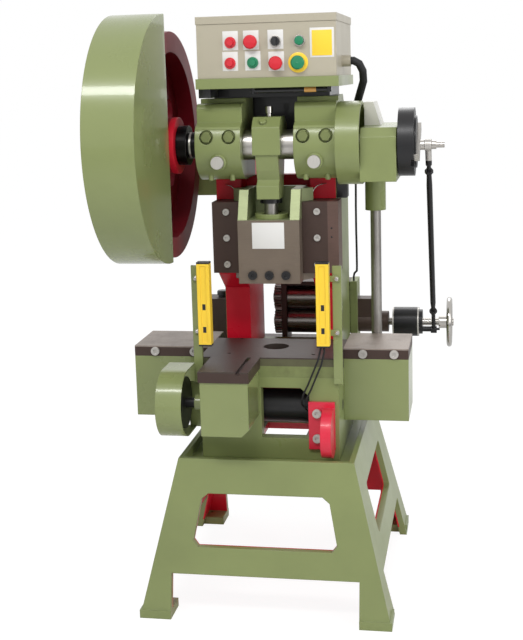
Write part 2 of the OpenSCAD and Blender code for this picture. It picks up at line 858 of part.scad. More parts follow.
// Motor behind the frame, its bracket and pulley
groove_edge = 6;
pulley_left = groove_first - groove_edge;
motor_pulley_w = 76;
motor_gap = 90;
motor_len = 240;
motor_x = [pulley_left + motor_gap, pulley_left + motor_gap + motor_len];
motor_fins = 18;
motor_fin = 9;
motor_fin_w = 4;
motor_fin_set = 3;
motor_bell = 30;
motor_cowl = 50;
motor_shaft_r = 14;
motor_foot = 6;
motor_foot_set = [50, 45];
motor_foot_w = 36;
motor_foot_half = 70;
motor_foot_top = 50;
motor_bore = 60;
shaft_room = 4;
shaft_lap = 6;
terminal_set = 96;
terminal_w = 80;
terminal_z = [-20, 34];
bracket_set = 20;
bracket_t = 14;
bracket_half = 100;
motor_y = frame_back + bracket_t + motor_foot + motor_r;

module motor() {
    color(black) at_press() translate([0, motor_y, motor_z]) difference() {
        union() {
            across(motor_x[0] + motor_bell, motor_x[1] - motor_cowl) {
                circle(motor_r - motor_fin);
                for (k = [0 : motor_fins - 1])
                    rotate(360 / motor_fins * k) translate([-motor_fin_w / 2, 0])
                        square([motor_fin_w, motor_r - motor_fin_set]);
            }
            xcyl(motor_r, motor_x[0], motor_x[0] + motor_bell + cut);
            xcyl(motor_r, motor_x[1] - motor_cowl - cut, motor_x[1]);
            // Terminal box and feet
            block([motor_x[0] + terminal_set, -terminal_w / 2, motor_r + terminal_z[0]],
                [motor_x[0] + terminal_set + terminal_w, terminal_w / 2, motor_r + terminal_z[1]]);
            for (x = [motor_x[0] + motor_foot_set[0], motor_x[1] - motor_cowl - motor_foot_set[1]])
                block([x, -motor_r - motor_foot, -motor_foot_half],
                    [x + motor_foot_w, -motor_foot_top, motor_foot_half]);
        }
        xcyl(motor_shaft_r + run_gap, motor_x[0] - cut, motor_x[0] + motor_bore);
    }
}

module motor_bracket() {
    color(green) at_press() block([motor_x[0], frame_back, motor_z - bracket_half],
        [motor_x[1] - bracket_set, frame_back + bracket_t, motor_z + bracket_half]);
}

module motor_pulley() {
    color(dark_steel) at_press() translate([0, motor_y, motor_z]) difference() {
        union() {
            xcyl(motor_pulley_r, pulley_left, pulley_left + motor_pulley_w);
            xcyl(motor_shaft_r, pulley_left + motor_pulley_w - shaft_lap, motor_x[0] + motor_bore - shaft_room);
        }
        for (k = [0, 1, 2]) rim_groove(motor_pulley_r, groove_first + groove_pitch * k);
    }
}

// Belts: outer and inner outlines are two circles joined by their tangents
belt_h = 8;
belt_side_gap = 0.5;

module belt_outline(big, small) {
    gap = norm([motor_y, motor_z - crank_z]);
    lean = asin((big - small) / gap);
    rotate(atan2(motor_z - crank_z, motor_y)) {
        circle(big, $fn = 96);
        translate([gap, 0]) circle(small);
        polygon([[big * sin(lean), big * cos(lean)], [gap + small * sin(lean), small * cos(lean)],
            [gap + small * sin(lean), -small * cos(lean)], [big * sin(lean), -big * cos(lean)]]);
    }
}

module drive_belts() {
    color(black) at_press() translate([0, 0, crank_z]) for (k = [0, 1, 2])
        across(groove_first + groove_pitch * k + belt_side_gap,
            groove_first + groove_pitch * k + groove_w - belt_side_gap) difference() {
            belt_outline(fly_r - groove_d + free_gap + belt_h, motor_pulley_r - groove_d + free_gap + belt_h);
            belt_outline(fly_r - groove_d + free_gap, motor_pulley_r - groove_d + free_gap);
        }
}

// Gear housing: round drum, box and the sleeve of the vertical shaft
housing_wall = 10;
gearbox_z = [-110, 47];
gearbox_y = [-96, 262];
gearbox_slope = 26;
sleeve_r = 33;
sleeve_drop = 228;
sleeve_low = crank_z - sleeve_drop;
crank_end_r = 25;
drum_end = 278;
gear_cover_y = [60, 200];
gear_cover_w = [50, 28];
gear_cover_top = 118;

module gearbox_outline(inset) {
    front = gearbox_y[0] + inset;
    back = gearbox_y[1] - inset;
    low = crank_z + gearbox_z[0] + inset;
    top = crank_z + gearbox_z[1] - inset;
    polygon([[front, low], [back, low], [back, top], [front + gearbox_slope, top],
        [front, top - gearbox_slope]]);
}

module gear_housing() {
    color(green) at_press() difference() {
        union() {
            xcyl(drum_r, right_out, drum_end, 0, crank_z);
            across(right_out, drum_end) translate([0, crank_z - drum_r])
                square([gearbox_y[1], drum_r + gearbox_z[1]]);
            across(drum_end - cut, gearbox_end) gearbox_outline(0);
            // Sloped cover of the gear on the box
            along(gear_cover_y[0], gear_cover_y[1]) polygon([[drum_end - cut, crank_z + gearbox_z[1] - cut],
                [drum_end + gear_cover_w[0], crank_z + gearbox_z[1] - cut],
                [drum_end + gear_cover_w[1], crank_z + gear_cover_top],
                [drum_end - cut, crank_z + gear_cover_top]]);
            zcyl(sleeve_r, sleeve_low, crank_z + gearbox_z[0] + cut, post_x, post_y);
        }
        xcyl(drum_r - housing_wall, right_out + housing_wall, drum_end, 0, crank_z);
        across(drum_end - cut, gearbox_end - housing_wall) gearbox_outline(housing_wall);
        xcyl(journal_r + free_gap, right_out - cut, right_out + housing_wall + cut, 0, crank_z);
        xcyl(crank_end_r + run_gap, gearbox_end - housing_wall - cut, gearbox_end + cut, 0, crank_z);
        zcyl(post_r + run_gap, sleeve_low - cut, crank_z + gearbox_z[0] + housing_wall + cut, post_x, post_y);
    }
}

// Vertical shaft from the gear box to the foot bearing
post_top = 20;
post_collar = [95, 60];
post_collar_t = 1;

module vertical_shaft() {
    color(steel) at_press() {
        zcyl(post_r, step_z + step_floor + free_gap, crank_z - post_top, post_x, post_y);
        zcyl(post_r + post_collar_t, crank_z - post_collar[0], crank_z - post_collar[1], post_x, post_y);
    }
}

// Dark drum in the bed window
bed_drum_r = 56;
bed_drum_x = [-150, 150];

module bed_drum() {
    color(black) at_press() {
        xcyl(bed_drum_r, bed_drum_x[0], bed_drum_x[1], drum_y, drum_z);
        xcyl(drum_shaft_r, -bed_half, bed_half, drum_y, drum_z);
    }
}

// Crankshaft, its crankpin towards the front at mid stroke
crank_left = -436;
disc_right = 434;
crank_step = 30;
crank_collar = 40;
crank_collar_t = 20;
journal_lip = 2;

module crankshaft() {
    color(steel) at_press() translate([0, 0, crank_z]) {
        xcyl(fly_bore_r, crank_left, left_out - crank_step);
        xcyl(journal_r, left_out - crank_step, left_in);
        xcyl(journal_r + crank_collar_t, hub_right + free_gap, left_out - crank_collar);
        xcyl(pin_r, left_in + free_gap, right_in - free_gap, rod_y);
        xcyl(journal_r, left_in - cut, left_in + journal_lip);
        xcyl(journal_r, right_in - journal_lip, right_out + crank_step);
        xcyl(crank_end_r, right_out + crank_step - cut, disc_right - slot_d);
    }
}

// Feed disc on the crank's right end and the bar with the feed stud
disc_gap = 3;
disc_left = gearbox_end + disc_gap;
slot_w = 26;
slot_d = 9;
bar_len = 150;
bar_t = 16;
stud_r = 9;
stud_end = 521;
stud_boss_t = 6;
stud_nut_t = 4;
stud_nut_w = 14;
disc_rim = 24;
disc_face = 6;
slot_turn = atan2(pull_side[1], pull_side[0]);

module feed_disc() {
    color(black) at_press() translate([0, 0, crank_z]) difference() {
        union() {
            xcyl(disc_r, disc_left, disc_right);
            xcyl(disc_r - disc_rim, disc_right - cut, disc_right + disc_face);
        }
        xcyl(crank_end_r, disc_left - cut, disc_right);
        rotate([slot_turn, 0, 0])
            block([disc_right - slot_d, -disc_r - cut, -slot_w / 2],
                [disc_right + disc_face + cut, disc_r + cut, slot_w / 2]);
    }
}

module stroke_bar() {
    color(steel) at_press() translate([0, 0, crank_z]) rotate([slot_turn, 0, 0]) {
        block([disc_right - slot_d, -bar_len / 2, -slot_w / 2], [disc_right + bar_t, bar_len / 2, slot_w / 2]);
        xcyl(stud_r + stud_boss_t, disc_right + bar_t - cut, pull_x - rod_end_w / 2 - free_gap, feed_throw);
        xcyl(stud_r, disc_right + bar_t, stud_end, feed_throw);
        xcyl(stud_r + stud_nut_t, pull_x + rod_end_w / 2 + free_gap, pull_x + rod_end_w / 2 + stud_nut_w,
            feed_throw);
    }
}

// Pull rod with rod ends, from the feed stud down to the clutch arm
rod_end_w = 20;
rod_end_r = 17;
low_eye_r = 12;
tube_r = 9;
neck_r = 6.5;
neck_low = 110;
socket_len = 74;
taper_len = 44;
low_neck = 100;
low_taper = 31;
nut_r = 13;
nut_h = 11;
nut_up = 84;
nut_gap = 4;
socket_t = 3;
socket_lap = 4;

module pull_rod() {
    color(black) at_press() translate([pull_x, stud_top[0], stud_top[1]]) rotate([pull_tilt, 0, 0])
        difference() {
            union() {
                xcyl(rod_end_r, -rod_end_w / 2, rod_end_w / 2);
                zcyl(neck_r + socket_t, -socket_len, -rod_end_r + socket_lap);
                zcyl(neck_r, -neck_low, -socket_len + cut);
                translate([0, 0, -neck_low - taper_len + cut])
                    cylinder(r1 = tube_r, r2 = neck_r + 1, h = taper_len);
                translate([0, 0, -neck_low + nut_gap]) cylinder(r = nut_r, h = nut_h, $fn = 6);
                zcyl(tube_r, -pull_len + low_neck + low_taper - cut, -neck_low - taper_len + 2 * cut);
                translate([0, 0, -pull_len + low_neck]) cylinder(r1 = neck_r, r2 = tube_r, h = low_taper);
                zcyl(neck_r, -pull_len + low_eye_r - 2, -pull_len + low_neck + cut);
                translate([0, 0, -pull_len + nut_up]) cylinder(r = nut_r, h = nut_h, $fn = 6);
                xcyl(low_eye_r, -rod_end_w / 2, rod_end_w / 2, 0, -pull_len);
            }
            xcyl(stud_r + pin_gap, -rod_end_w, rod_end_w);
            xcyl(arm_stud_r + eye_room, -rod_end_w, rod_end_w, 0, -pull_len);
        }
}

// Clutch on the feed shaft with its arm and stud
clutch_x = [333, 422];
clutch_r = 50;
feed_shaft_r = 13;
arm_t = 12;
clutch_rim = 8;
arm_stud_out = 10;
arm_boss_t = 5;

module clutch_arm() {
    color(black) at_press() translate([0, feed_y, feed_z]) difference() {
        union() {
            xcyl(clutch_r, clutch_x[0], clutch_x[1]);
            xcyl(clutch_r - clutch_rim, clutch_x[1] - cut, clutch_x[1] + arm_t);
            xcyl(arm_stud_r, clutch_x[1], pull_x + rod_end_w / 2 + arm_stud_out,
                arm_len * pull_side[0], arm_len * pull_side[1]);
            xcyl(arm_stud_r + arm_boss_t, clutch_x[1], pull_x - rod_end_w / 2 - free_gap,
                arm_len * pull_side[0], arm_len * pull_side[1]);
        }
        xcyl(feed_shaft_r + run_gap, clutch_x[0] - cut, clutch_x[1] + arm_t + cut);
    }
}

// Roll feed frame: base, side plates, right bracket, clamp block and oil tank
feed_base_drop = 75;
feed_base_z = table_z - feed_base_drop;
feed_plate_rise = 135;
feed_plate_top = table_z + feed_plate_rise;
feed_left = [-48, -30];
feed_right = [190, 214];
feed_box_end = 318;
roll_bore_r = 16;
feed_base_t = 24;
feed_base_back = 60;
feed_base_side = 30;
feed_plate_set = 6;
feed_plate_back = 50;
feed_tie_t = 14;
feed_boss_r = 36;
clamp_half = 30;
clamp_rise = 20;
clamp_set = 40;
tie_drop = 2;
tie_set = 4;
tank_x = [-322, -208];
tank_half = 44;
tank_h = 145;

module feed_frame() {
    color(dark_steel) at_press() difference() {
        union() {
            block([tank_x[0], frame_back, feed_base_z - feed_base_t],
                [cheek_out + feed_base_side, feed_y + feed_base_back, feed_base_z]);
            for (ends = [feed_left, feed_right])
                block([ends[0], frame_back + feed_plate_set, feed_base_z - cut],
                    [ends[1], feed_y + feed_plate_back, feed_plate_top]);
            block([feed_left[1] - cut, frame_back + 2 * feed_plate_set, feed_plate_top - feed_tie_t - tie_drop],
                [feed_right[0] + cut, feed_y + feed_plate_back - tie_set, feed_plate_top - tie_drop]);
            block([tank_x[0], feed_y - tank_half, feed_base_z - cut],
                [tank_x[1], feed_y + tank_half, feed_base_z + tank_h]);
            xcyl(feed_boss_r, feed_right[1] - cut, feed_box_end, feed_y, feed_z);
            block([feed_right[1] - cut, feed_y - clamp_half, feed_z + clamp_rise],
                [feed_box_end - clamp_set, feed_y + clamp_half, feed_z + roll_pitch]);
        }
        for (z = [feed_z, feed_z + roll_pitch])
            xcyl(roll_bore_r + run_gap, feed_left[0] - cut, feed_right[1] + free_gap, feed_y, z);
        xcyl(feed_shaft_r + run_gap, feed_right[0], feed_box_end + cut, feed_y, feed_z);
    }
}

// Spur gear outline with involute flanks
function involute(base, t) = base * [cos(t) + t * PI / 180 * sin(t), sin(t) - t * PI / 180 * cos(t)];
function turned(p, a) = [p[0] * cos(a) - p[1] * sin(a), p[0] * sin(a) + p[1] * cos(a)];
pressure = 20;
backlash = 0.8;
gear_base = roll_pitch / 2 * cos(pressure);
gear_tip = roll_pitch / 2 + 0.9 * tooth_module;
gear_root = roll_pitch / 2 - 1.25 * tooth_module;
flank_end = sqrt(pow(gear_tip / gear_base, 2) - 1) * 180 / PI;
pitch_roll = tan(pressure) * 180 / PI;
half_tooth = 90 / teeth - backlash * 180 / (PI * roll_pitch) + (pitch_roll - pressure);
flank = [for (k = [0 : 4]) turned(involute(gear_base, flank_end * k / 4), -half_tooth)];
tooth_points = concat([turned([gear_root, 0], -half_tooth)], flank,
    [for (k = [4 : -1 : 0]) [flank[k][0], -flank[k][1]]], [turned([gear_root, 0], half_tooth)]);

module gear_outline() {
    polygon([for (n = [0 : teeth - 1], p = tooth_points) turned(p, 360 / teeth * n)]);
}

gear_x = [-76, -51];
gear_stub = 6;

module feed_roll(turn) {
    xcyl(roll_r, feed_left[1] + free_gap, feed_right[0] - free_gap);
    xcyl(roll_bore_r, gear_x[0] - gear_stub, feed_right[1]);
    translate([gear_x[0], 0, 0]) rotate([90, 0, 90]) rotate(turn)
        linear_extrude(height = gear_x[1] - gear_x[0]) gear_outline();
}

wheel_x = 525;
wheel_stub = 14;

module lower_feed_roll() {
    color(steel) at_press() translate([0, feed_y, feed_z]) {
        feed_roll(90);
        xcyl(feed_shaft_r, feed_right[1] - cut, wheel_x + wheel_stub);
    }
}

module upper_feed_roll() {
    color(steel) at_press() translate([0, feed_y, feed_z + roll_pitch]) {
        feed_roll(-90 + 180 / teeth);
    }
}

// Handwheel with a round rim and three spokes
rim_r = 9;
wheel_hub_r = 22;
wheel_hub = [-36, 8];
spoke_r = 7;
spoke_in = 14;
spoke_count = 3;

module handwheel() {
    color(steel) at_press() translate([wheel_x, feed_y, feed_z]) rotate([0, 90, 0]) difference() {
        union() {
            rotate_extrude() translate([wheel_r - rim_r, 0]) circle(rim_r);
            zcyl(wheel_hub_r, wheel_hub[0], wheel_hub[1]);
            for (k = [0 : spoke_count - 1])
                rotate([0, 90, 360 / spoke_count * k]) zcyl(spoke_r, spoke_in, wheel_r - rim_r);
        }
        zcyl(feed_shaft_r, wheel_hub[0] - cut, wheel_hub[1] + cut);
    }
}

// Connecting rod: head, shank and bevelled foot
head_half = 70;
head_top = 84;
head_foot = 28;
head_chamfer = 30;
shank_half = 36;
shank_top = 66;
shank_mid = [52, 75];
shank_neck = [40, 103];
foot_front = 58;
foot_top = 121;
screw_bore = 90;

module connecting_rod() {
    color(green) at_press() translate([0, rod_y, crank_z]) difference() {
        union() {
            across(-rod_w / 2, rod_w / 2) polygon([[-head_half, -head_foot],
                [-head_half, head_top - head_chamfer], [-head_half + head_chamfer, head_top],
                [head_half - head_chamfer, head_top],
                [head_half, head_top - head_chamfer], [head_half, -head_foot]]);
            across(-shank_w / 2, shank_w / 2) polygon([[-shank_top, -head_foot + cut],
                [-shank_mid[0], -shank_mid[1]], [-shank_neck[0], -shank_neck[1]], [-foot_front, -foot_top],
                [-foot_front, -rod_len], [shank_half, -rod_len], [shank_half, -foot_top],
                [shank_mid[0], -shank_mid[1]], [shank_top, -head_foot + cut]]);
        }
        xcyl(pin_r + run_gap, -rod_w, rod_w);
        zcyl(screw_r, -rod_len - cut, -rod_len + screw_bore - pin_r);
        zcyl(oil_r + pin_gap, pin_r, head_top + cut);
    }
}

// Oil cup screwed into the top of the rod
oil_r = 5;
oil_stem = [-20, 12];
oil_neck_r = 8;
oil_neck_h = 10;
oil_bowl_r = 11;
oil_bowl_top = 30;

module oil_cup() {
    color(steel) at_press() translate([0, rod_y, crank_z + head_top]) {
        zcyl(oil_r, oil_stem[0], oil_stem[1]);
        zcyl(oil_neck_r, 0, oil_neck_h);
        zcyl(oil_bowl_r, oil_neck_h, oil_bowl_top);
    }
}

// Adjusting screw with its ball in the slide
screw_gap = 2;

module adjusting_screw() {
    color(dark_steel) at_press() translate([0, rod_y, crank_z]) {
        zcyl(screw_r, -ball_drop + ball_r / 2, -rod_len + screw_bore - pin_r - screw_gap);
        translate([0, 0, -ball_drop]) sphere(r = ball_r);
    }
}

// Lock ring under the rod foot
lock_h = 16;
lock_set = 2;
notch_w = 8;
notch_d = 6;

module lock_ring() {
    color(black) at_press() translate([0, rod_y, crank_z - rod_len - lock_h]) difference() {
        cylinder(r = shank_half - lock_set, h = lock_h);
        translate([0, 0, -cut]) cylinder(r = screw_r + pin_gap, h = lock_h + 2 * cut);
        for (turn = [45 : 90 : 315])
            rotate(turn) translate([shank_half - lock_set - notch_d, -notch_w / 2, -cut])
                cube([notch_d + lock_set, notch_w, lock_h + 2 * cut]);
    }
}

// Slide: block with guide rails, pocket for the rod, ball chamber and shank hole
clamp_h = 60;
clamp_d = 62;
clamp_bolt_pitch = 51;
clamp_bolt_z = 26;
clamp_bolt_r = 8;
ear_set = 45;
ear_step = 4;
pocket_back = 66;
chamber_gap = 3;
chamber_x = ball_r + chamber_gap;

module slide() {
    color(dark_steel) at_press() difference() {
        translate([0, 0, slide_low]) linear_extrude(height = slide_h + slide_ears) polygon([
            [-slide_half, -slide_d / 2], [slide_half, -slide_d / 2],
            [slide_half, rail_mid - rail_half], [slide_half + rail_d, rail_mid],
            [slide_half, rail_mid + rail_half], [slide_half, slide_d / 2],
            [-slide_half, slide_d / 2], [-slide_half, rail_mid + rail_half],
            [-slide_half - rail_d, rail_mid], [-slide_half, rail_mid - rail_half]]);
        // Sloped front of the cheeks
        across(-slide_half - rail_d - cut, slide_half + rail_d + cut) polygon([[-slide_d / 2 - cut, slide_top],
            [-slide_d / 2 + ear_step, slide_top], [-slide_d / 2 + ear_set, ears_top + cut],
            [-slide_d / 2 - cut, ears_top + cut]]);
        block([-pocket_w / 2, -slide_d, slide_top], [pocket_w / 2, pocket_back, ears_top + cut]);
        block([-slide_half - cut, -slide_d, slide_low - cut],
            [slide_half + cut, -slide_d / 2 + clamp_d, slide_low + clamp_h]);
        zcyl(shank_r, slide_low - cut, slide_low + shank_d);
        block([-chamber_x, ball_y - ball_r - swing_room, ball_z - ball_r - lift_room],
            [chamber_x, ball_y + ball_r + swing_room, slide_top + cut]);
    }
}

// Clamp plate at the front of the slide foot
module die_clamp() {
    color(dark_steel) at_press()
        block([-slide_half, -slide_d / 2, slide_low],
            [slide_half, -slide_d / 2 + clamp_d, slide_low + clamp_h]);
}

module slide_bolts() {
    color(black) at_press() for (k = [-1 : 1])
        translate([k * clamp_bolt_pitch, -slide_d / 2, slide_low + clamp_bolt_z]) button_head(clamp_bolt_r);
}

// Gland ring over the ball chamber
gland_h = 14;
gland_r = 52;
gland_gap = 2;

module ball_gland() {
    color(green) at_press() difference() {
        translate([0, ball_y, slide_top]) cylinder(r = gland_r, h = gland_h);
        block([-screw_r - gland_gap, ball_y - screw_r - swing_room, slide_top - cut],
            [screw_r + gland_gap, ball_y + screw_r + swing_room, slide_top + gland_h + cut]);
    }
}

// Control box with its lid, tray and supports
box_wall = 2;
lid_h = 22;
lid_lap = 2;
gland_in = 10;
panel_hole_r = 11;
tray_h = 30;
tray_lap = 6;

module control_box() {
    color(beige) at_press() translate([box_mid, box_front, box_low]) difference() {
        union() {
            block([-box_w / 2, 0, 0], [box_w / 2, box_d, box_h - lid_h]);
            // Cable gland on the right side
            xcyl(conduit_r + gland_t, box_w / 2 - cut, box_w / 2 + gland_len, gland_y, gland_z);
        }
        block([-box_w / 2 + box_wall, box_wall, box_wall], [box_w / 2 - box_wall, box_d - box_wall, box_h]);
        xcyl(conduit_r + pin_gap, box_w / 2 - gland_in, box_w / 2 + gland_len + cut, gland_y, gland_z);
        for (p = concat(lamp_places, stop_places, start_places, [selector_place]))
            ycyl(panel_hole_r, -cut, box_wall + cut, p[0] - box_mid, p[1]);
    }
}

module box_lid() {
    color(beige) at_press() translate([box_mid, box_front, box_low + box_h - lid_h]) difference() {
        block([-box_w / 2 - lid_lap, -lid_lap, 0], [box_w / 2 + lid_lap, box_d + lid_lap, lid_h]);
        block([-box_w / 2 + box_wall, box_wall, -cut],
            [box_w / 2 - box_wall, box_d - box_wall, lid_h - box_wall]);
    }
}

// Tray under the box, on a hollow riser, with a plate behind the crank
riser_half = 178;
riser_front = 30;
riser_set = 10;
riser_y = [riser_front, frame_back - back_slope - riser_set];
riser_t = 6;
tray_t = 4;
crank_plate_t = 4;
crank_plate_drop = 15;

module box_tray() {
    color(green) at_press() difference() {
        union() {
            block([box_mid - box_w / 2 - tray_lap, box_front - tray_lap, box_low - tray_h],
                [box_mid + box_w / 2 + tray_lap, box_front + box_d + tray_lap, box_low]);
            difference() {
                block([-riser_half, riser_y[0], crank_z + head_rise],
                    [riser_half, riser_y[1], box_low - tray_h + cut]);
                block([-riser_half + riser_t, riser_y[0] + riser_t, crank_z + head_rise - cut],
                    [riser_half - riser_t, riser_y[1] - riser_t, box_low]);
            }
            block([-cheek_in + free_gap, throat_d - crank_plate_t, crank_z - crank_plate_drop],
                [cheek_in - free_gap, throat_d, box_low - tray_h + cut]);
        }
        block([box_mid - box_w / 2 - tray_lap + tray_t, box_front - tray_lap + tray_t, box_low - tray_h - cut],
            [box_mid + box_w / 2 + tray_lap - tray_t, riser_y[0] - cut, box_low - tray_t]);
    }
}

// Bezels and pilot lamps on the box face
bezel_r = 16.5;
bezel_h = 6;
button_bore = 9.2;
bezel_stem_r = 10.8;
bezel_stem = 24;
lens_r = [11, 9];
lens_h = 8;

module button_bezels() {
    color(steel) at_press() for (p = concat(stop_places, start_places, [selector_place]))
        translate([p[0], box_front, box_low + p[1]]) difference() {
            union() {
                ycyl(bezel_r, -bezel_h, 0);
                ycyl(bezel_stem_r, -cut, bezel_stem);
            }
            ycyl(button_bore, -bezel_h - cut, bezel_stem + cut);
        }
}

module pilot_lamps() {
    color(lamp_red) at_press() for (p = lamp_places)
        translate([p[0], box_front, box_low + p[1]]) {
            ycyl(bezel_r, -bezel_h, 0);
            ycyl(bezel_stem_r, -cut, bezel_stem);
            translate([0, -bezel_h, 0]) rotate([90, 0, 0])
                cylinder(r1 = lens_r[0], r2 = lens_r[1], h = lens_h);
        }
}

// Push buttons: a stem in the bezel and a cap, given by radius and height
button_gap = 0.3;
button_stem = 26;
cap_gap = 0.6;
cap_lap = 0.4;
stop_cap = [20, 16];
upper_start_cap = [13, 8];
lower_start_cap = [20, 12];

module push_button(place, cap) {
    at_press() translate([place[0], box_front - bezel_h, box_low + place[1]]) {
        ycyl(button_bore - button_gap, -press_travel - cap_gap - cap_lap, button_stem);
        translate([0, -press_travel - cap_gap, 0]) rotate([90, 0, 0]) rotate_extrude() polygon([[0, 0],
            [cap[0], 0], [cap[0], cap[1] * 0.6], [cap[0] * 0.82, cap[1] * 0.9], [0, cap[1]]]);
    }
}

module stop_button_upper() {
    color(red) push_button(stop_places[0], stop_cap);
}

module stop_button_lower() {
    color(red) push_button(stop_places[1], stop_cap);
}

module start_button_upper() {
    color(button_green) push_button(start_places[0], upper_start_cap);
}

module start_button_lower() {
    color(button_green) push_button(start_places[1], lower_start_cap);
}

selector_gap = 0.4;
selector_r = 13;
selector_base = 7;
lever_w = 8;
lever_out = 20;
lever_lap = 0.1;

module selector_switch() {
    color(black) at_press() translate([selector_place[0], box_front - bezel_h, box_low + selector_place[1]]) {
        ycyl(button_bore - button_gap, -selector_gap, button_stem);
        ycyl(selector_r, -selector_base, -selector_gap);
        block([-lever_w / 2, -lever_out, -selector_r], [lever_w / 2, lever_lap - selector_base, selector_r]);
    }
}

// Places of the light curtain
post_out = [199, 226];
post_drop = 75;
post_low = table_z - post_drop;
post_rise = 282;
post_high = table_z + post_rise;
post_t = 12;
bar_lap = 10;
bar_gap = 4;
clip_set = 6;
clip_h = 18;
slit_side = 10;
slit_end = 12;
slit_d = 2;
bar_front = -196;
bar_in = 154;
left_bar_in = 163;
curtain_rise = 43;
curtain_low = table_z + curtain_rise;
clip_rise = [30, 192];
bracket_z = [for (rise = clip_rise) curtain_low + rise];

// Conduit from the box to the gear housing, leads of the right light curtain and cable to the feeder
gland_y = 150;
gland_len = 26;
gland_t = 5;
gland_z = 42;
conduit_r = 12;
box_right = box_mid + box_w / 2;
conduit_top = box_low + gland_z;
conduit_foot = [(right_out + drum_end) / 2, 138, crank_z + gearbox_z[1]];
conduit_mid = (box_right + conduit_foot[0]) / 2;
conduit_route = [[box_right + 16, 30, conduit_top], [box_right + 34, 30, conduit_top],
    [box_right + 50, 33, conduit_top - 9], [box_right + 60, 44, conduit_top - 31],
    [box_right + 60, 62, conduit_top - 61], [conduit_mid + 36, 86, conduit_top - 91],
    [conduit_mid + 25, 112, conduit_top - 119],
    conduit_foot + [3, -6, 37], conduit_foot + [0, 0, 17], conduit_foot];
lead_r = 3;
lead_sides = 8;
conduit_sides = 12;
lead_x = bar_in + curtain_w / 2;
lead_route = [[lead_x, -172, curtain_low], [lead_x, -172, table_z + 25], [lead_x - 10, -170, table_z - 15],
    [146, -168, table_z - 55], [130, -166, table_z - 93], [116, -164, table_z - 121],
    [110, -156, table_z - 143], [109, -142, table_z - 159], [113, -128, table_z - 169],
    [bed_window[1], -128, table_z - 169]];
second_lead = [for (k = [0 : len(lead_route) - 1]) lead_route[k] + (k == 0 ? [-10, 0, 0] :
    k < len(lead_route) - 1 ? [-10, 0, 12] : [0, 0, 12])];
cable_r = 3.5;
cable_route = [[232, 236, crank_z - drum_r], [232, 236, crank_z - drum_r - 40], [231, 240, crank_z - 215],
    [230, 250, crank_z - 295], [229, 268, crank_z - 365], [226, 300, crank_z - 420],
    [221, 345, feed_plate_top + 47], [213, 388, feed_plate_top + 37], [205, 416, feed_plate_top + 26],
    [202, 424, feed_plate_top + 13], [202, 424, feed_plate_top]];

function unit(v) = v / norm(v);
function heading(path, i) = unit(path[min(i + 1, len(path) - 1)] - path[max(i - 1, 0)]);
function ring_point(path, i, r, a) = let(d = heading(path, i), side = unit(cross(d, [0.9, 0.3, 0.1])),
    up = cross(side, d)) path[i] + r * (cos(a) * side + sin(a) * up);

module swept_tube(path, r, sides) {
    rings = len(path);
    polyhedron(
        points = [for (i = [0 : rings - 1], k = [0 : sides - 1]) ring_point(path, i, r, 360 * k / sides)],
        faces = concat([[for (k = [0 : sides - 1]) k]],
            [for (i = [0 : rings - 2], k = [0 : sides - 1]) [i * sides + k, (i + 1) * sides + k,
                (i + 1) * sides + (k + 1) % sides, i * sides + (k + 1) % sides]],
            [[for (k = [sides - 1 : -1 : 0]) (rings - 1) * sides + k]]));
}

module conduit() {
    color(black) at_press() swept_tube(conduit_route, conduit_r, conduit_sides);
}

module sensor_lead() {
    color(black) at_press() {
        swept_tube(lead_route, lead_r, lead_sides);
        swept_tube(second_lead, lead_r, lead_sides);
    }
}

module feeder_cable() {
    color(black) at_press() swept_tube(cable_route, cable_r, lead_sides);
}

// Light curtain: two upright posts with brackets, and a bar on each
module curtain_posts() {
    color(green) at_press() for (side = [0, 1]) mirror([side, 0, 0]) {
        block([post_out[0], -bed_front - post_t, post_low], [post_out[1], -bed_front, post_high]);
        for (z = bracket_z)
            block([(side == 0 ? bar_in : left_bar_in) + bar_lap, -bed_front - post_t - bar_gap, z],
                [post_out[1] - clip_set, -bed_front - post_t, z + clip_h]);
    }
}

module light_curtain(inner) {
    difference() {
        block([inner, bar_front, curtain_low],
            [inner + curtain_w, -bed_front - post_t - bar_gap, curtain_low + curtain_len]);
        block([inner + slit_side, bar_front - cut, curtain_low + slit_end],
            [inner + curtain_w - slit_side, bar_front + slit_d, curtain_low + curtain_len - slit_end]);
    }
}

module light_curtain_left() {
    color(yellow) at_press() mirror([1, 0, 0]) light_curtain(left_bar_in);
}

module light_curtain_right() {
    color(yellow) at_press() light_curtain(bar_in);
}

stand();
press_frame();
bolster_plate();
wing_box_left();
wing_box_right();
wing_plates();
front_box();
front_box_plate();
front_guard();
hood_bracket();
bearing_cap_left();
bearing_cap_right();
cap_plugs();
frame_bolts();
main_bushes();
gib_left();
gib_right();
flywheel_guard();
motor();
motor_bracket();
drive_belts();
gear_housing();
control_box();
box_lid();
box_tray();
button_bezels();
pilot_lamps();
conduit();
curtain_posts();
light_curtain_left();
light_curtain_right();
sensor_lead();
feeder_cable();
feed_frame();
crankshaft();
feed_disc();
stroke_bar();
flywheel();
motor_pulley();
connecting_rod();
oil_cup();
adjusting_screw();
lock_ring();
slide();
die_clamp();
slide_bolts();
ball_gland();
vertical_shaft();
bed_drum();
front_pulley();
pull_rod();
clutch_arm();
lower_feed_roll();
upper_feed_roll();
handwheel();
stop_button_upper();
stop_button_lower();
start_button_upper();
start_button_lower();
selector_switch();
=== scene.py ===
"""Looks of the button making press: paints, metals, plates and trim on the CAD frame, and a plain studio."""

import math

import bmesh
import bpy
from mathutils import Matrix, Vector


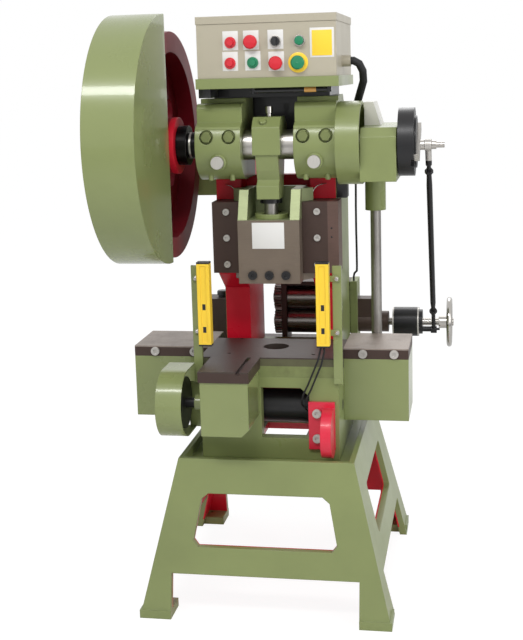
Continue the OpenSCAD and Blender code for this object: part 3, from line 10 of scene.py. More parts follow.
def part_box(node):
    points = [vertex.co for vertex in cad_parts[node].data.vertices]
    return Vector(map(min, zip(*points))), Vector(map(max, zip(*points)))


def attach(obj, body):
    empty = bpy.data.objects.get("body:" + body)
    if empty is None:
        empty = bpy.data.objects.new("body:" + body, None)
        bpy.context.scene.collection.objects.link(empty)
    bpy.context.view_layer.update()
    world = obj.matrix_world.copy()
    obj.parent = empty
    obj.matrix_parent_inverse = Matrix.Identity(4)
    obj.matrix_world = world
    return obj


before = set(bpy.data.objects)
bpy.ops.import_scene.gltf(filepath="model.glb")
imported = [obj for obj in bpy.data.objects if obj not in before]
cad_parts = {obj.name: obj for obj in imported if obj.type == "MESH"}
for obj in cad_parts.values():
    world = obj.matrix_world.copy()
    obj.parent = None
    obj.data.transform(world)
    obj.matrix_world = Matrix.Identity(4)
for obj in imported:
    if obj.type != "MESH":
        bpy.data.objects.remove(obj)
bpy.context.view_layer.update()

bl_info = {
    "name": "Button making press",
    "version": (1, 1, 0),
    "blender": (4, 5, 0),
    "location": "View3D > Sidebar > Press",
    "description": "Finishes, trim and studio for a button making press",
    "category": "Object",
}

FRONT = Vector((0.0, -1.0, 0.0))
BACK = Vector((0.0, 1.0, 0.0))
UP = Vector((0.0, 0.0, 1.0))
ACROSS = Vector((1.0, 0.0, 0.0))
FAR = 5.0  # beyond the press on every side
SKIN = 0.0005  # lap past a face
PLATE_EDGE = 0.0003  # softened edge of a thin plate


# Sizes and colours


def length(name, description, default):
    """A length in metres that a user may change."""
    return bpy.props.FloatProperty(name=name, description=description, default=default, min=0.0, unit="LENGTH")


def colour(name, description, default):
    """A paint, plastic or metal colour."""
    return bpy.props.FloatVectorProperty(
        name=name, description=description, default=default, size=3, min=0.0, max=1.0, subtype="COLOR"
    )


class PressColours(bpy.types.PropertyGroup):
    """Colours of the press"""

    green: colour("Green paint", "Gloss paint of the castings and sheet boxes", (0.226, 0.264, 0.100))
    pale_green: colour("Pale green", "Worn paint of the slide's cheeks", (0.280, 0.320, 0.160))
    pale_grey: colour("Pale grey", "Sloped cover on the gear housing", (0.680, 0.670, 0.590))
    red: colour("Red paint", "Throat of the frame and inside of the stand", (0.640, 0.008, 0.026))
    # Painted shade: a darker red for the shaded inside of the bed.
    bed_shade_red: colour("Dark red", "Shaded inside of the bed", (0.160, 0.006, 0.012))
    # The flywheel red is partly its own darker maroon and partly painted shade on the web.
    shaded_wheel_red: colour("Flywheel red", "Dark red of the flywheel", (0.235, 0.006, 0.016))
    bracket_red: colour("Bracket red", "Hood bracket on the bed", (0.680, 0.018, 0.050))
    beige: colour("Beige paint", "Control box and its lid", (0.420, 0.382, 0.295))
    yellow: colour("Yellow paint", "Light-curtain bars and the start ring", (0.900, 0.600, 0.040))
    # Painted shade: ground steel darkened for the shade under the slide and the reflection of the dark frame; the front
    # plate shares it.
    shaded_table: colour("Table steel", "Ground bolster plate and front plate", (0.062, 0.046, 0.039))
    olive: colour("Dark olive", "Oily paint on the bolster's front edge", (0.120, 0.118, 0.062))
    # Painted reflection: the same ground steel is lightened on the wings, where the tops reflect the bright sky.
    lit_wing: colour("Wing steel", "Ground plates on the wings", (0.330, 0.275, 0.240))
    slide: colour("Slide steel", "Brushed steel of the slide", (0.190, 0.148, 0.112))
    gib: colour("Gib steel", "Browned guide blocks", (0.064, 0.038, 0.031))
    bright: colour("Bright steel", "Turned shafts, bolts and studs", (0.560, 0.535, 0.500))
    roll: colour("Roll steel", "Dark ground feed rolls", (0.300, 0.285, 0.270))
    chrome: colour("Chrome", "Handwheel", (0.520, 0.500, 0.470))
    bronze: colour("Bronze", "Main bushes", (0.480, 0.270, 0.080))
    black: colour("Black steel", "Oxidised drums, rods and gears", (0.014, 0.014, 0.016))
    rubber: colour("Rubber", "Belts, conduit and leads", (0.011, 0.011, 0.012))
    white: colour("White plate", "Bare legend plates", (0.700, 0.690, 0.670))
    amber: colour("Amber lamp", "Lit end of the lamp tube", (0.750, 0.380, 0.100))
    button_red: colour("Red buttons", "Stop buttons and red lamps", (0.600, 0.016, 0.030))
    button_green: colour("Green buttons", "Start buttons and the green lamp", (0.010, 0.200, 0.090))


class PressSizes(bpy.types.PropertyGroup):
    """Sizes of the trim"""

    legend_w: length("Legend width", "Width of a legend plate", 0.046)
    legend_h: length("Legend height", "Height of a legend plate", 0.055)
    plate_t: length("Plate thickness", "Thickness of the bare plates", 0.0008)
    start_ring_r: length("Start ring", "Outer radius of the ring round the lower start button", 0.029)
    plug_ring_r: length("Plug ring", "Outer radius of the seat round a bearing plug", 0.025)
    pipe_r: length("Oil pipe", "Radius of the oil pipes to the gibs", 0.0022)
    lamp_r: length("Lamp tube", "Radius of the lamp tube under the tray", 0.008)
    bolt_r: length("Bolt head", "Radius of the hexagon heads on the motor bracket", 0.011)
    screw_r: length("Screw head", "Radius of the screws on the light-curtain brackets", 0.006)


# Shader node helpers


def add_node(tree, kind, **values):
    """A new node with its settings or input values."""
    node = tree.nodes.new(kind)
    for key, value in values.items():
        if hasattr(node, key):
            setattr(node, key, value)
        else:
            node.inputs[key].default_value = value
    return node


def new_group(name, inputs, outputs):
    """An empty shader node group with named sockets."""
    group = bpy.data.node_groups.new(name, "ShaderNodeTree")
    for socket, kind in inputs:
        group.interface.new_socket(name=socket, in_out="INPUT", socket_type="NodeSocket" + kind)
    for socket, kind in outputs:
        group.interface.new_socket(name=socket, in_out="OUTPUT", socket_type="NodeSocket" + kind)
    return group, add_node(group, "NodeGroupInput"), add_node(group, "NodeGroupOutput")


def math_node(tree, operation, *values):
    """A math node whose values are sockets or numbers."""
    node = add_node(tree, "ShaderNodeMath", operation=operation)
    for socket, value in zip(node.inputs, values):
        if isinstance(value, (int, float)):
            socket.default_value = value
        else:
            tree.links.new(value, socket)
    return node.outputs[0]


def mix_colours(tree, factor, first, second):
    """A colour mix whose factor and colours are sockets or values."""
    node = add_node(tree, "ShaderNodeMix", data_type="RGBA")
    for socket, value in ((node.inputs[0], factor), (node.inputs[6], first), (node.inputs[7], second)):
        if isinstance(value, bpy.types.NodeSocket):
            tree.links.new(value, socket)
        elif isinstance(value, (int, float)):
            socket.default_value = value
        else:
            socket.default_value = (*value, 1.0)
    return node.outputs[2]


def spread_noise(tree, noise, low, high):
    """Noise stretched so that it runs from 0 to 1 between two levels."""
    spread = add_node(tree, "ShaderNodeMapRange")
    spread.inputs["From Min"].default_value = low
    spread.inputs["From Max"].default_value = high
    tree.links.new(noise.outputs["Fac"], spread.inputs["Value"])
    return spread.outputs[0]


def paint_group():
    """Brushed or sprayed gloss paint: a little mottled, with orange peel."""
    group, enter, leave = new_group(
        "Paint coat",
        (("Colour", "Color"), ("Shade", "Float"), ("Patch", "Float"), ("Peel", "Float"), ("Gloss", "Float")),
        (("Colour", "Color"), ("Roughness", "Float"), ("Height", "Float")),
    )
    place = add_node(group, "ShaderNodeTexCoord").outputs["Object"]
    patch = add_node(group, "ShaderNodeTexNoise", Detail=4.0, Roughness=0.55)
    peel = add_node(group, "ShaderNodeTexNoise", Detail=2.0, Roughness=0.5)
    for noise, scale in ((patch, "Patch"), (peel, "Peel")):
        group.links.new(place, noise.inputs["Vector"])
        group.links.new(enter.outputs[scale], noise.inputs["Scale"])
    grime, dulling = (0.02, 0.02, 0.015), 0.10
    mottle = spread_noise(group, patch, 0.35, 0.70)
    amount = math_node(group, "MULTIPLY", mottle, enter.outputs["Shade"])
    darker = mix_colours(group, amount, enter.outputs["Colour"], grime)
    group.links.new(darker, leave.inputs["Colour"])
    rough = math_node(group, "MULTIPLY_ADD", mottle, dulling, enter.outputs["Gloss"])
    group.links.new(rough, leave.inputs["Roughness"])
    group.links.new(peel.outputs["Fac"], leave.inputs["Height"])
    return group


def steel_group():
    """Ground or turned steel: fine streaks along one direction and a few stains."""
    group, enter, leave = new_group(
        "Machined steel",
        (("Colour", "Color"), ("Streaks", "Vector"), ("Stain", "Float"), ("Gloss", "Float")),
        (("Colour", "Color"), ("Roughness", "Float"), ("Height", "Float")),
    )
    place = add_node(group, "ShaderNodeTexCoord").outputs["Object"]
    stretch = add_node(group, "ShaderNodeVectorMath", operation="MULTIPLY")
    streak = add_node(group, "ShaderNodeTexNoise", Scale=1.0, Detail=3.0, Roughness=0.6)
    stain = add_node(group, "ShaderNodeTexNoise", Scale=14.0, Detail=5.0, Roughness=0.6)
    group.links.new(place, stretch.inputs[0])
    group.links.new(enter.outputs["Streaks"], stretch.inputs[1])
    group.links.new(stretch.outputs[0], streak.inputs["Vector"])
    group.links.new(place, stain.inputs["Vector"])
    rust, grain = (0.05, 0.032, 0.022), (0.03, 0.028, 0.026)
    grain_share, dulling = 0.22, 0.16
    amount = math_node(group, "MULTIPLY", spread_noise(group, stain, 0.45, 0.75), enter.outputs["Stain"])
    stained = mix_colours(group, amount, enter.outputs["Colour"], rust)
    lines = math_node(group, "MULTIPLY", streak.outputs["Fac"], grain_share)
    group.links.new(mix_colours(group, lines, stained, grain), leave.inputs["Colour"])
    rough = math_node(group, "MULTIPLY_ADD", streak.outputs["Fac"], dulling, enter.outputs["Gloss"])
    group.links.new(rough, leave.inputs["Roughness"])
    group.links.new(streak.outputs["Fac"], leave.inputs["Height"])
    return group


def zone_group():
    """Mask that is 1 inside a box given by two corners."""
    group, enter, leave = new_group("Zone", (("Low", "Vector"), ("High", "Vector")), (("Mask", "Float"),))
    place = add_node(group, "ShaderNodeTexCoord").outputs["Object"]
    least = add_node(group, "ShaderNodeVectorMath", operation="MINIMUM")
    for end, pair in enumerate(((place, enter.outputs["Low"]), (enter.outputs["High"], place))):
        margin = add_node(group, "ShaderNodeVectorMath", operation="SUBTRACT")
        for socket, value in zip(margin.inputs, pair):
            group.links.new(value, socket)
        group.links.new(margin.outputs[0], least.inputs[end])
    parts = add_node(group, "ShaderNodeSeparateXYZ")
    group.links.new(least.outputs[0], parts.inputs[0])
    smallest = math_node(group, "MINIMUM", math_node(group, "MINIMUM", *parts.outputs[:2]), parts.outputs[2])
    group.links.new(math_node(group, "GREATER_THAN", smallest, 0.0), leave.inputs["Mask"])
    return group


def place_group(tree, name, maker, **values):
    """A shared group, built on first use, placed in a material with its own values."""
    node = tree.nodes.new("ShaderNodeGroup")
    node.node_tree = bpy.data.node_groups.get(name) or maker()
    for key, value in values.items():
        node.inputs[key].default_value = value
    return node


def zone_mask(tree, boxes):
    """Mask of several boxes together."""
    masks = [place_group(tree, "Zone", zone_group, Low=low, High=high).outputs[0] for low, high in boxes]
    joined = masks[0]
    for mask in masks[1:]:
        joined = math_node(tree, "MAXIMUM", joined, mask)
    return joined


def new_material(name, metallic=0.0, coat=0.0, shine=0.5, bump=0.1, edge=0.002):
    """A material with rounded edges and a bump, ready for its coat or grain."""
    material = bpy.data.materials.new(name)
    material.use_nodes = True
    tree = material.node_tree
    shader = tree.nodes["Principled BSDF"]
    shader.inputs["Metallic"].default_value = metallic
    shader.inputs["Specular IOR Level"].default_value = shine
    shader.inputs["Coat Weight"].default_value = coat
    shader.inputs["Coat Roughness"].default_value = 0.05
    rounded = add_node(tree, "ShaderNodeBevel", samples=4, Radius=edge)
    relief = add_node(tree, "ShaderNodeBump", Strength=bump, Distance=0.001)
    tree.links.new(rounded.outputs[0], relief.inputs["Normal"])
    tree.links.new(relief.outputs[0], shader.inputs["Normal"])
    return material, tree, shader, relief


def connect_finish(tree, shader, relief, finish):
    """Joins a coat or grain group to the shader."""
    tree.links.new(finish.outputs["Colour"], shader.inputs["Base Color"])
    tree.links.new(finish.outputs["Roughness"], shader.inputs["Roughness"])
    tree.links.new(finish.outputs["Height"], relief.inputs["Height"])


def zoned_colour(tree, finish, main_colour, zones):
    """Gives a finish its colour, with other colours inside boxes."""
    finish.inputs["Colour"].default_value = (*main_colour, 1.0)
    result = tuple(main_colour)
    for other, boxes in zones:
        result = mix_colours(tree, zone_mask(tree, boxes), result, tuple(other))
    if zones:
        tree.links.new(result, finish.inputs["Colour"])


def paint(name, main_colour, zones=(), shade=0.12, patch=5.0, peel=90.0, gloss=0.27, coat=0.12, shine=0.4, bump=0.12,
          edge=0.003):
    """Gloss paint on a casting or on sheet."""
    material, tree, shader, relief = new_material(name, coat=coat, shine=shine, bump=bump, edge=edge)
    finish = place_group(tree, "Paint coat", paint_group, Shade=shade, Patch=patch, Peel=peel, Gloss=gloss)
    zoned_colour(tree, finish, main_colour, zones)
    connect_finish(tree, shader, relief, finish)
    return material


def casting_paint(name, main_colour, zones=(), **values):
    """Thick brushed paint on a rough casting."""
    return paint(name, main_colour, zones, peel=60.0, bump=0.22, edge=0.004, **values)


def plastic(name, main_colour, zones=(), gloss=0.2):
    """Moulded plastic of a button or lamp."""
    return paint(name, main_colour, zones, shade=0.0, gloss=gloss, coat=0.3, edge=0.001)


def steel(name, main_colour, zones=(), streaks=(900.0, 30.0, 30.0), stain=0.2, gloss=0.28, metallic=0.85, shine=0.5,
          edge=0.0015):
    """Ground, turned or oxidised steel."""
    material, tree, shader, relief = new_material(name, metallic=metallic, shine=shine, bump=0.08, edge=edge)
    finish = place_group(tree, "Machined steel", steel_group, Streaks=streaks, Stain=stain, Gloss=gloss)
    zoned_colour(tree, finish, main_colour, zones)
    connect_finish(tree, shader, relief, finish)
    return material


# Finishes of the CAD nodes


def middle(node):
    """Centre of a CAD node."""
    low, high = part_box(node)
    return (low + high) / 2


def stand_paint(colours):
    """Green outside and red inside the sloped walls."""
    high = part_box("stand")[1]
    top_half_x, top_half_y = 0.265, 0.335
    wall, pad, floor_lap = 0.019, 0.027, 0.003
    tray_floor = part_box("press_frame")[0].z
    material, tree, shader, relief = new_material("Stand paint", coat=0.12, shine=0.4, bump=0.2, edge=0.004)
    finish = place_group(tree, "Paint coat", paint_group, Shade=0.14, Patch=4.0, Peel=60.0, Gloss=0.28)
    place = add_node(tree, "ShaderNodeSeparateXYZ")
    tree.links.new(add_node(tree, "ShaderNodeTexCoord").outputs["Object"], place.inputs[0])
    inside = math_node(tree, "LESS_THAN", place.outputs[2], tray_floor - floor_lap)
    inside = math_node(tree, "MULTIPLY", inside, math_node(tree, "GREATER_THAN", place.outputs[2], pad))
    for axis, half, top_half in ((0, high.x, top_half_x), (1, high.y, top_half_y)):
        side = math_node(tree, "ABSOLUTE", place.outputs[axis])
        reach = math_node(tree, "MULTIPLY_ADD", place.outputs[2], (half - top_half) / high.z, side)
        inside = math_node(tree, "MULTIPLY", inside, math_node(tree, "LESS_THAN", reach, half - wall))
    tree.links.new(mix_colours(tree, inside, tuple(colours.green), tuple(colours.red)), finish.inputs["Colour"])
    connect_finish(tree, shader, relief, finish)
    return material


def frame_paint(colours):
    """Green casting whose throat and inner faces are red inside; inside the bed the red is darker, painted shade."""
    low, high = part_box("press_frame")
    cheek_in, cheek_out = 0.1085, 0.188
    bed_in, bed_wall, bed_roof = 0.176, 0.0375, 0.030
    front_set, head_back, head_rise = 0.010, 0.046, 0.110
    barrel_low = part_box("bearing_cap_left")[0].z
    bed_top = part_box("bolster_plate")[0].z
    head_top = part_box("cap_plugs")[1].z + head_rise
    paint_lap = 0.002
    throat = ((-cheek_out, low.y + front_set, bed_top + paint_lap), (cheek_out, high.y - paint_lap, barrel_low - SKIN))
    between = ((-cheek_in, head_back, barrel_low - 2 * SKIN), (cheek_in, high.y - paint_lap, head_top))
    # Inside the bed the red is darkened as painted shade.
    bed = ((-bed_in, low.y + bed_wall, low.z + paint_lap), (bed_in, high.y - bed_wall, bed_top - bed_roof))
    return casting_paint("Frame paint", colours.green, ((colours.red, (throat, between)), (colours.bed_shade_red, (bed,))),
                         coat=0.0, shine=0.25)


def tray_paint(colours):
    """Green tray; the riser below it is black, painted shade under the tray."""
    tray_h = 0.030
    tray_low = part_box("control_box")[0].z - tray_h - SKIN
    # Below the tray the riser is coloured black: painted shade in the dark space under the tray.
    return paint("Tray paint", colours.green, ((colours.black, (((-FAR, -FAR, 0.0), (FAR, FAR, tray_low)),)),),
                 shade=0.08, peel=140.0, bump=0.06, gloss=0.3, coat=0.2)


def gear_paint(colours):
    """Green gear housing with a pale sloped cover."""
    drum_end, box_drop = 0.2782, 0.012
    box_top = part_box("crankshaft")[1].z - box_drop
    cover = ((drum_end, -FAR, box_top), (FAR, FAR, FAR))
    return casting_paint("Gear housing paint", colours.green, ((colours.pale_grey, (cover,)),))


def curtain_paint(name, node, colours):
    """Yellow light-curtain bar with two dark eyes and black ends."""
    low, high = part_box(node)
    centre, eye_w, eye_h, end_h = (low.x + high.x) / 2, 0.010, 0.018, 0.005
    marks = [((-FAR, -FAR, 0.0), (FAR, FAR, low.z + end_h)), ((-FAR, -FAR, high.z - end_h), (FAR, FAR, FAR))]
    for rise in (0.041, 0.110):
        marks.append(((centre - eye_w / 2, -FAR, low.z + rise), (centre + eye_w / 2, 0.0, low.z + rise + eye_h)))
    return paint(name, colours.yellow, ((colours.black, marks),), shade=0.03, peel=300.0, gloss=0.35, coat=0.1,
                 edge=0.002)


def table_steel(colours):
    """Ground bolster plate with an oily front edge that is painted green lower down; its steel colour is darkened as
    painted shade and painted reflection of the dark frame.
    """
    low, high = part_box("bolster_plate")
    rim, oily_h, face_lap = 0.004, 0.026, 0.0006
    face, green_top = low.y + face_lap, high.z - oily_h
    oily = ((-FAR, -FAR, green_top), (FAR, face, high.z - rim))
    painted = ((-FAR, -FAR, 0.0), (FAR, face, green_top))
    return steel("Table steel", colours.shaded_table, ((colours.olive, (oily,)), (colours.green, (painted,))),
                 streaks=(25.0, 600.0, 25.0), stain=0.35, gloss=0.36, metallic=0.3, shine=0.35)


def plate_steel(name, node, top_colour, colours):
    """Ground plate whose edges are browned below a worn rim."""
    rim = 0.004
    edges = ((-FAR, -FAR, 0.0), (FAR, FAR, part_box(node)[1].z - rim))
    return steel(name, top_colour, ((colours.gib, (edges,)),), streaks=(600.0, 25.0, 25.0), stain=0.4, gloss=0.36,
                 metallic=0.35, shine=0.4)


def slide_steel(colours):
    """Brushed slide with painted cheeks."""
    top_lap = 0.0002
    cheeks = ((-FAR, -FAR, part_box("ball_gland")[0].z - top_lap), (FAR, FAR, FAR))
    return steel("Slide steel", colours.slide, ((colours.pale_green, (cheeks,)),), streaks=(30.0, 30.0, 500.0),
                 stain=0.15, gloss=0.36, metallic=0.4)


def crank_steel(colours):
    """Turned crankshaft with a blackened collar beside the flywheel."""
    collar_left, ring_left, ring_right, collar_right = -0.320, -0.249, -0.243, -0.214
    collar = (((ring_right, -FAR, 0.0), (collar_right, FAR, FAR)), ((collar_left, -FAR, 0.0), (ring_left, FAR, FAR)))
    return steel("Crank steel", colours.bright, ((colours.black, collar),), streaks=(20.0, 400.0, 400.0), stain=0.3,
                 gloss=0.22, metallic=1.0)


def clutch_steel(colours):
    """Blackened clutch with bright rims."""
    left, right, rim = 0.333, 0.422, 0.0045
    rims = (((left - rim, -FAR, 0.0), (left + rim, FAR, FAR)), ((right - rim, -FAR, 0.0), (right + SKIN, FAR, FAR)))
    return steel("Clutch steel", colours.black, ((colours.bright, rims),), stain=0.1, gloss=0.28, metallic=0.5)


def rod_steel(colours):
    """Black pull rod with a bright upper end."""
    bright_len = 0.066
    upper = ((-FAR, -FAR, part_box("pull_rod")[1].z - bright_len), (FAR, FAR, FAR))
    return steel("Pull rod steel", colours.black, ((colours.bright, (upper,)),), stain=0.1, gloss=0.28, metallic=0.5)


def roll_steel(colours):
    """Dark feed rolls with a bright shaft end at the handwheel."""
    clutch_end = 0.424
    shaft = ((clutch_end, -FAR, 0.0), (FAR, FAR, FAR))
    return steel("Roll steel", colours.roll, ((colours.bright, (shaft,)),), streaks=(20.0, 400.0, 400.0), stain=0.2,
                 gloss=0.2, metallic=0.9)


def wheel_paint(colours):
    """Flywheel red, darkened partly as its own maroon and partly as painted shade, with the hub in the full red."""
    centre, hub_r, wheel_right = middle("flywheel"), 0.088, -0.3025
    hub = ((wheel_right, centre.y - hub_r, centre.z - hub_r), (0.0, centre.y + hub_r, centre.z + hub_r))
    # The wheel colour carries painted shade; the hub keeps the full red paint.
    return casting_paint("Flywheel paint", colours.shaded_wheel_red, ((colours.red, (hub,)),), shade=0.25, gloss=0.42,
                         coat=0.0, shine=0.25)


def gib_steel(colours):
    """Browned gibs, the right one worn lighter on its outer strip."""
    worn, worn_left = tuple(2.0 * channel for channel in colours.gib), 0.172
    outer = ((worn_left, -FAR, 0.0), (FAR, FAR, FAR))
    return steel("Gib steel", colours.gib, ((worn, (outer,)),), streaks=(30.0, 30.0, 400.0), stain=0.3, gloss=0.42,
                 metallic=0.2, shine=0.3)


def feeder_steel(colours):
    """Dark feeder frame with a green right side plate."""
    plate_left, plate_right, base_h = 0.1895, 0.2145, 0.025
    plate = ((plate_left, -FAR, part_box("feed_frame")[0].z + base_h), (plate_right, FAR, FAR))
    return steel("Feeder steel", colours.gib, ((colours.green, (plate,)),), streaks=(200.0, 30.0, 30.0), stain=0.3,
                 gloss=0.38, metallic=0.3)


def bolt_steel(colours):
    """Bright bolts, painted over on the bearing caps."""
    caps = ((-FAR, -FAR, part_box("bearing_cap_left")[0].z), (FAR, FAR, FAR))
    return steel("Bolt steel", colours.bright, ((colours.green, (caps,)),), stain=0.25, gloss=0.3, metallic=0.5)


def lamp_plastic(colours):
    """Two red lamps and a green one."""
    lamp_left, lamp_right = -0.050, 0.0
    green_lamp = ((lamp_left, -FAR, 0.0), (lamp_right, FAR, FAR))
    return plastic("Lamp plastic", colours.button_red, ((colours.button_green, (green_lamp,)),), gloss=0.12)


def node_finishes(colours):
    """Finish of every CAD node."""
    green_sheet = paint("Green sheet paint", colours.green, shade=0.08, peel=140.0, bump=0.06, gloss=0.20, coat=0.35)
    dull_bright = tuple(0.68 * channel for channel in colours.bright)
    return (
        (stand_paint(colours), ("stand",)),
        (frame_paint(colours), ("press_frame",)),
        (tray_paint(colours), ("box_tray",)),
        (gear_paint(colours), ("gear_housing",)),
        (casting_paint("Green casting paint", colours.green),
         ("bearing_cap_left", "bearing_cap_right", "connecting_rod", "ball_gland")),
        (green_sheet, ("wing_box_left", "wing_box_right", "front_box", "front_guard", "flywheel_guard", "motor_bracket",
                       "curtain_posts")),
        (wheel_paint(colours), ("flywheel",)),
        (paint("Hood bracket paint", colours.bracket_red, shade=0.06, gloss=0.3, coat=0.15), ("hood_bracket",)),
        (paint("Beige box paint", colours.beige, shade=0.05, peel=400.0, gloss=0.38, coat=0.1, edge=0.002),
         ("control_box", "box_lid")),
        (curtain_paint("Left curtain paint", "light_curtain_left", colours), ("light_curtain_left",)),
        (curtain_paint("Right curtain paint", "light_curtain_right", colours), ("light_curtain_right",)),
        (table_steel(colours), ("bolster_plate",)),
        # The wing plates take the lightened steel colour, painted reflection.
        (plate_steel("Wing plate steel", "wing_plates", colours.lit_wing, colours), ("wing_plates",)),
        # The front plate takes the same darkened steel colour, painted shade.
        (plate_steel("Front plate steel", "front_box_plate", colours.shaded_table, colours), ("front_box_plate",)),
        (slide_steel(colours), ("slide", "die_clamp")),
        (gib_steel(colours), ("gib_left", "gib_right")),
        (feeder_steel(colours), ("feed_frame",)),
        (crank_steel(colours), ("crankshaft",)),
        (steel("Bright steel", colours.bright, streaks=(20.0, 400.0, 400.0), stain=0.12, gloss=0.16, metallic=1.0),
         ("stroke_bar", "oil_cup", "button_bezels")),
        (steel("Plug steel", colours.bright, stain=0.05, gloss=0.34, metallic=0.35), ("cap_plugs",)),
        (roll_steel(colours), ("lower_feed_roll", "upper_feed_roll")),
        (steel("Shaft steel", dull_bright, streaks=(300.0, 300.0, 15.0), stain=0.3, gloss=0.26, metallic=0.9),
         ("vertical_shaft", "adjusting_screw")),
        (bolt_steel(colours), ("frame_bolts",)),
        (steel("Chrome", colours.chrome, stain=0.04, gloss=0.05, metallic=1.0), ("handwheel",)),
        (steel("Bronze", colours.bronze, stain=0.2, gloss=0.25, metallic=1.0), ("main_bushes",)),
        (steel("Black steel", colours.black, stain=0.1, gloss=0.28, metallic=0.3),
         ("bed_drum", "front_pulley", "feed_disc", "lock_ring", "slide_bolts", "motor_pulley")),
        (clutch_steel(colours), ("clutch_arm",)),
        (rod_steel(colours), ("pull_rod",)),
        (paint("Black motor paint", colours.black, shade=0.2, gloss=0.35, coat=0.2), ("motor",)),
        (paint("Rubber", colours.rubber, shade=0.2, peel=500.0, gloss=0.6, coat=0.0, bump=0.3),
         ("drive_belts", "conduit", "sensor_lead", "feeder_cable")),
        (lamp_plastic(colours), ("pilot_lamps",)),
        (plastic("Red plastic", colours.button_red), ("stop_button_upper", "stop_button_lower")),
        (plastic("Green plastic", colours.button_green), ("start_button_upper", "start_button_lower")),
        (plastic("Black plastic", colours.black, gloss=0.4), ("selector_switch",)),
    )


def trim_finishes(colours):
    """Finishes of the plates and the lamp tube."""
    amber_left, amber_right = 0.115, 0.150
    amber_end = ((amber_left, -FAR, 0.0), (amber_right, FAR, FAR))
    paint("White plate", colours.white, shade=0.03, gloss=0.4, coat=0.0, edge=0.0005)
    paint("Yellow plate", colours.yellow, shade=0.03, gloss=0.35, coat=0.1, edge=0.0005)
    plastic("Lamp tube", colours.black, ((colours.amber, (amber_end,)),))


# Mesh helpers


def slab(bm, low, high, bevel):
    """A block between two corners with softened edges."""
    low, high = Vector(low), Vector(high)
    made = bmesh.ops.create_cube(bm, size=1.0)["verts"]
    bmesh.ops.scale(bm, vec=high - low, verts=made)
    bmesh.ops.translate(bm, vec=(low + high) / 2, verts=made)
    edges = list({edge for vert in made for edge in vert.link_edges})
    bmesh.ops.bevel(bm, geom=edges, offset=bevel, offset_type="OFFSET", segments=2, profile=0.5,
                    affect="EDGES", material=-1)


def turned(bm, outline, centre, axis, steps=40):
    """A turned piece: an outline of (radius, along) points spun round an axis."""
    side = axis.orthogonal().normalized()
    verts = [bm.verts.new(Vector(centre) + side * radius + axis * along) for radius, along in outline]
    edges = [bm.edges.new(pair) for pair in zip(verts, verts[1:])]
    bmesh.ops.spin(bm, geom=verts + edges, cent=centre, axis=axis, angle=2 * math.pi, steps=steps,
                   use_merge=True, use_normal_flip=False, use_duplicate=False)
    bmesh.ops.remove_doubles(bm, verts=bm.verts[:], dist=1e-6)


def chamfered_ring(bm, inner, outer, height, chamfer, centre, axis):
    """A ring round an axis; the chamfer on its outer edge is (across, along)."""
    across, along = chamfer
    turned(bm, ((inner, 0.0), (outer, 0.0), (outer, height - along), (outer - across, height), (inner, height),
                (inner, 0.0)), centre, axis)


def round_bar(bm, radius, start, end, centre, axis, steps=40):
    """A plain round bar between two places along an axis."""
    turned(bm, ((0.0, start), (radius, start), (radius, end), (0.0, end)), centre, axis, steps)


def hexagon(bm, radius, height, centre, axis):
    """A hexagon head on a thin washer."""
    washer, washer_r = 0.15 * height, 1.15 * radius
    shoulder, crown_r = 0.85 * height, 0.85 * radius
    round_bar(bm, washer_r, 0.0, washer, centre, axis, steps=24)
    turned(bm, ((0.0, washer), (radius, washer), (radius, shoulder), (crown_r, height), (0.0, height)),
           centre, axis, steps=6)


def pipe(bm, path, radius, sides=10):
    """A round pipe along a path of points."""
    path = [Vector(point) for point in path]
    heading = (path[1] - path[0]).normalized()
    turn = heading.to_track_quat("Z", "Y").to_matrix().to_4x4()
    ring = bmesh.ops.create_circle(bm, cap_ends=True, radius=radius, segments=sides,
                                   matrix=Matrix.Translation(path[0]) @ turn)["verts"]
    face = ring[0].link_faces[0]
    for before, here in zip(path, path[1:]):
        step = here - before
        grown = bmesh.ops.extrude_face_region(bm, geom=[face])["geom"]
        verts = [item for item in grown if isinstance(item, bmesh.types.BMVert)]
        face = next(item for item in grown if isinstance(item, bmesh.types.BMFace))
        bmesh.ops.translate(bm, vec=step, verts=verts)
        bend = heading.rotation_difference(step.normalized()).to_matrix()
        bmesh.ops.rotate(bm, cent=here, matrix=bend, verts=verts)
        heading = step.normalized()


def add_piece(name, bm, material, body):
    """Turns a bmesh into a piece that rides on a CAD body."""
    bmesh.ops.recalc_face_normals(bm, faces=bm.faces[:])
    mesh = bpy.data.meshes.new(name)
    bm.to_mesh(mesh)
    bm.free()
    mesh.shade_smooth()
    mesh.set_sharp_from_angle(angle=math.radians(35))
    mesh.materials.append(bpy.data.materials[material])
    piece = bpy.data.objects.new(name, mesh)
    bpy.context.scene.collection.objects.link(piece)
    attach(piece, body)


# One operator for each group of pieces


class PRESS_OT_finishes(bpy.types.Operator):
    """Give every CAD node its paint, metal or plastic"""

    bl_idname = "press.finishes"
    bl_label = "Finishes"

    def execute(self, context):
        colours = context.scene.press_colours
        trim_finishes(colours)
        bare = set(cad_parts)
        for material, names in node_finishes(colours):
            for name in names:
                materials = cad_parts[name].data.materials
                materials.clear()
                materials.append(material)
                bare.discard(name)
        if bare:
            raise RuntimeError("no finish for " + ", ".join(sorted(bare)))
        return {"FINISHED"}


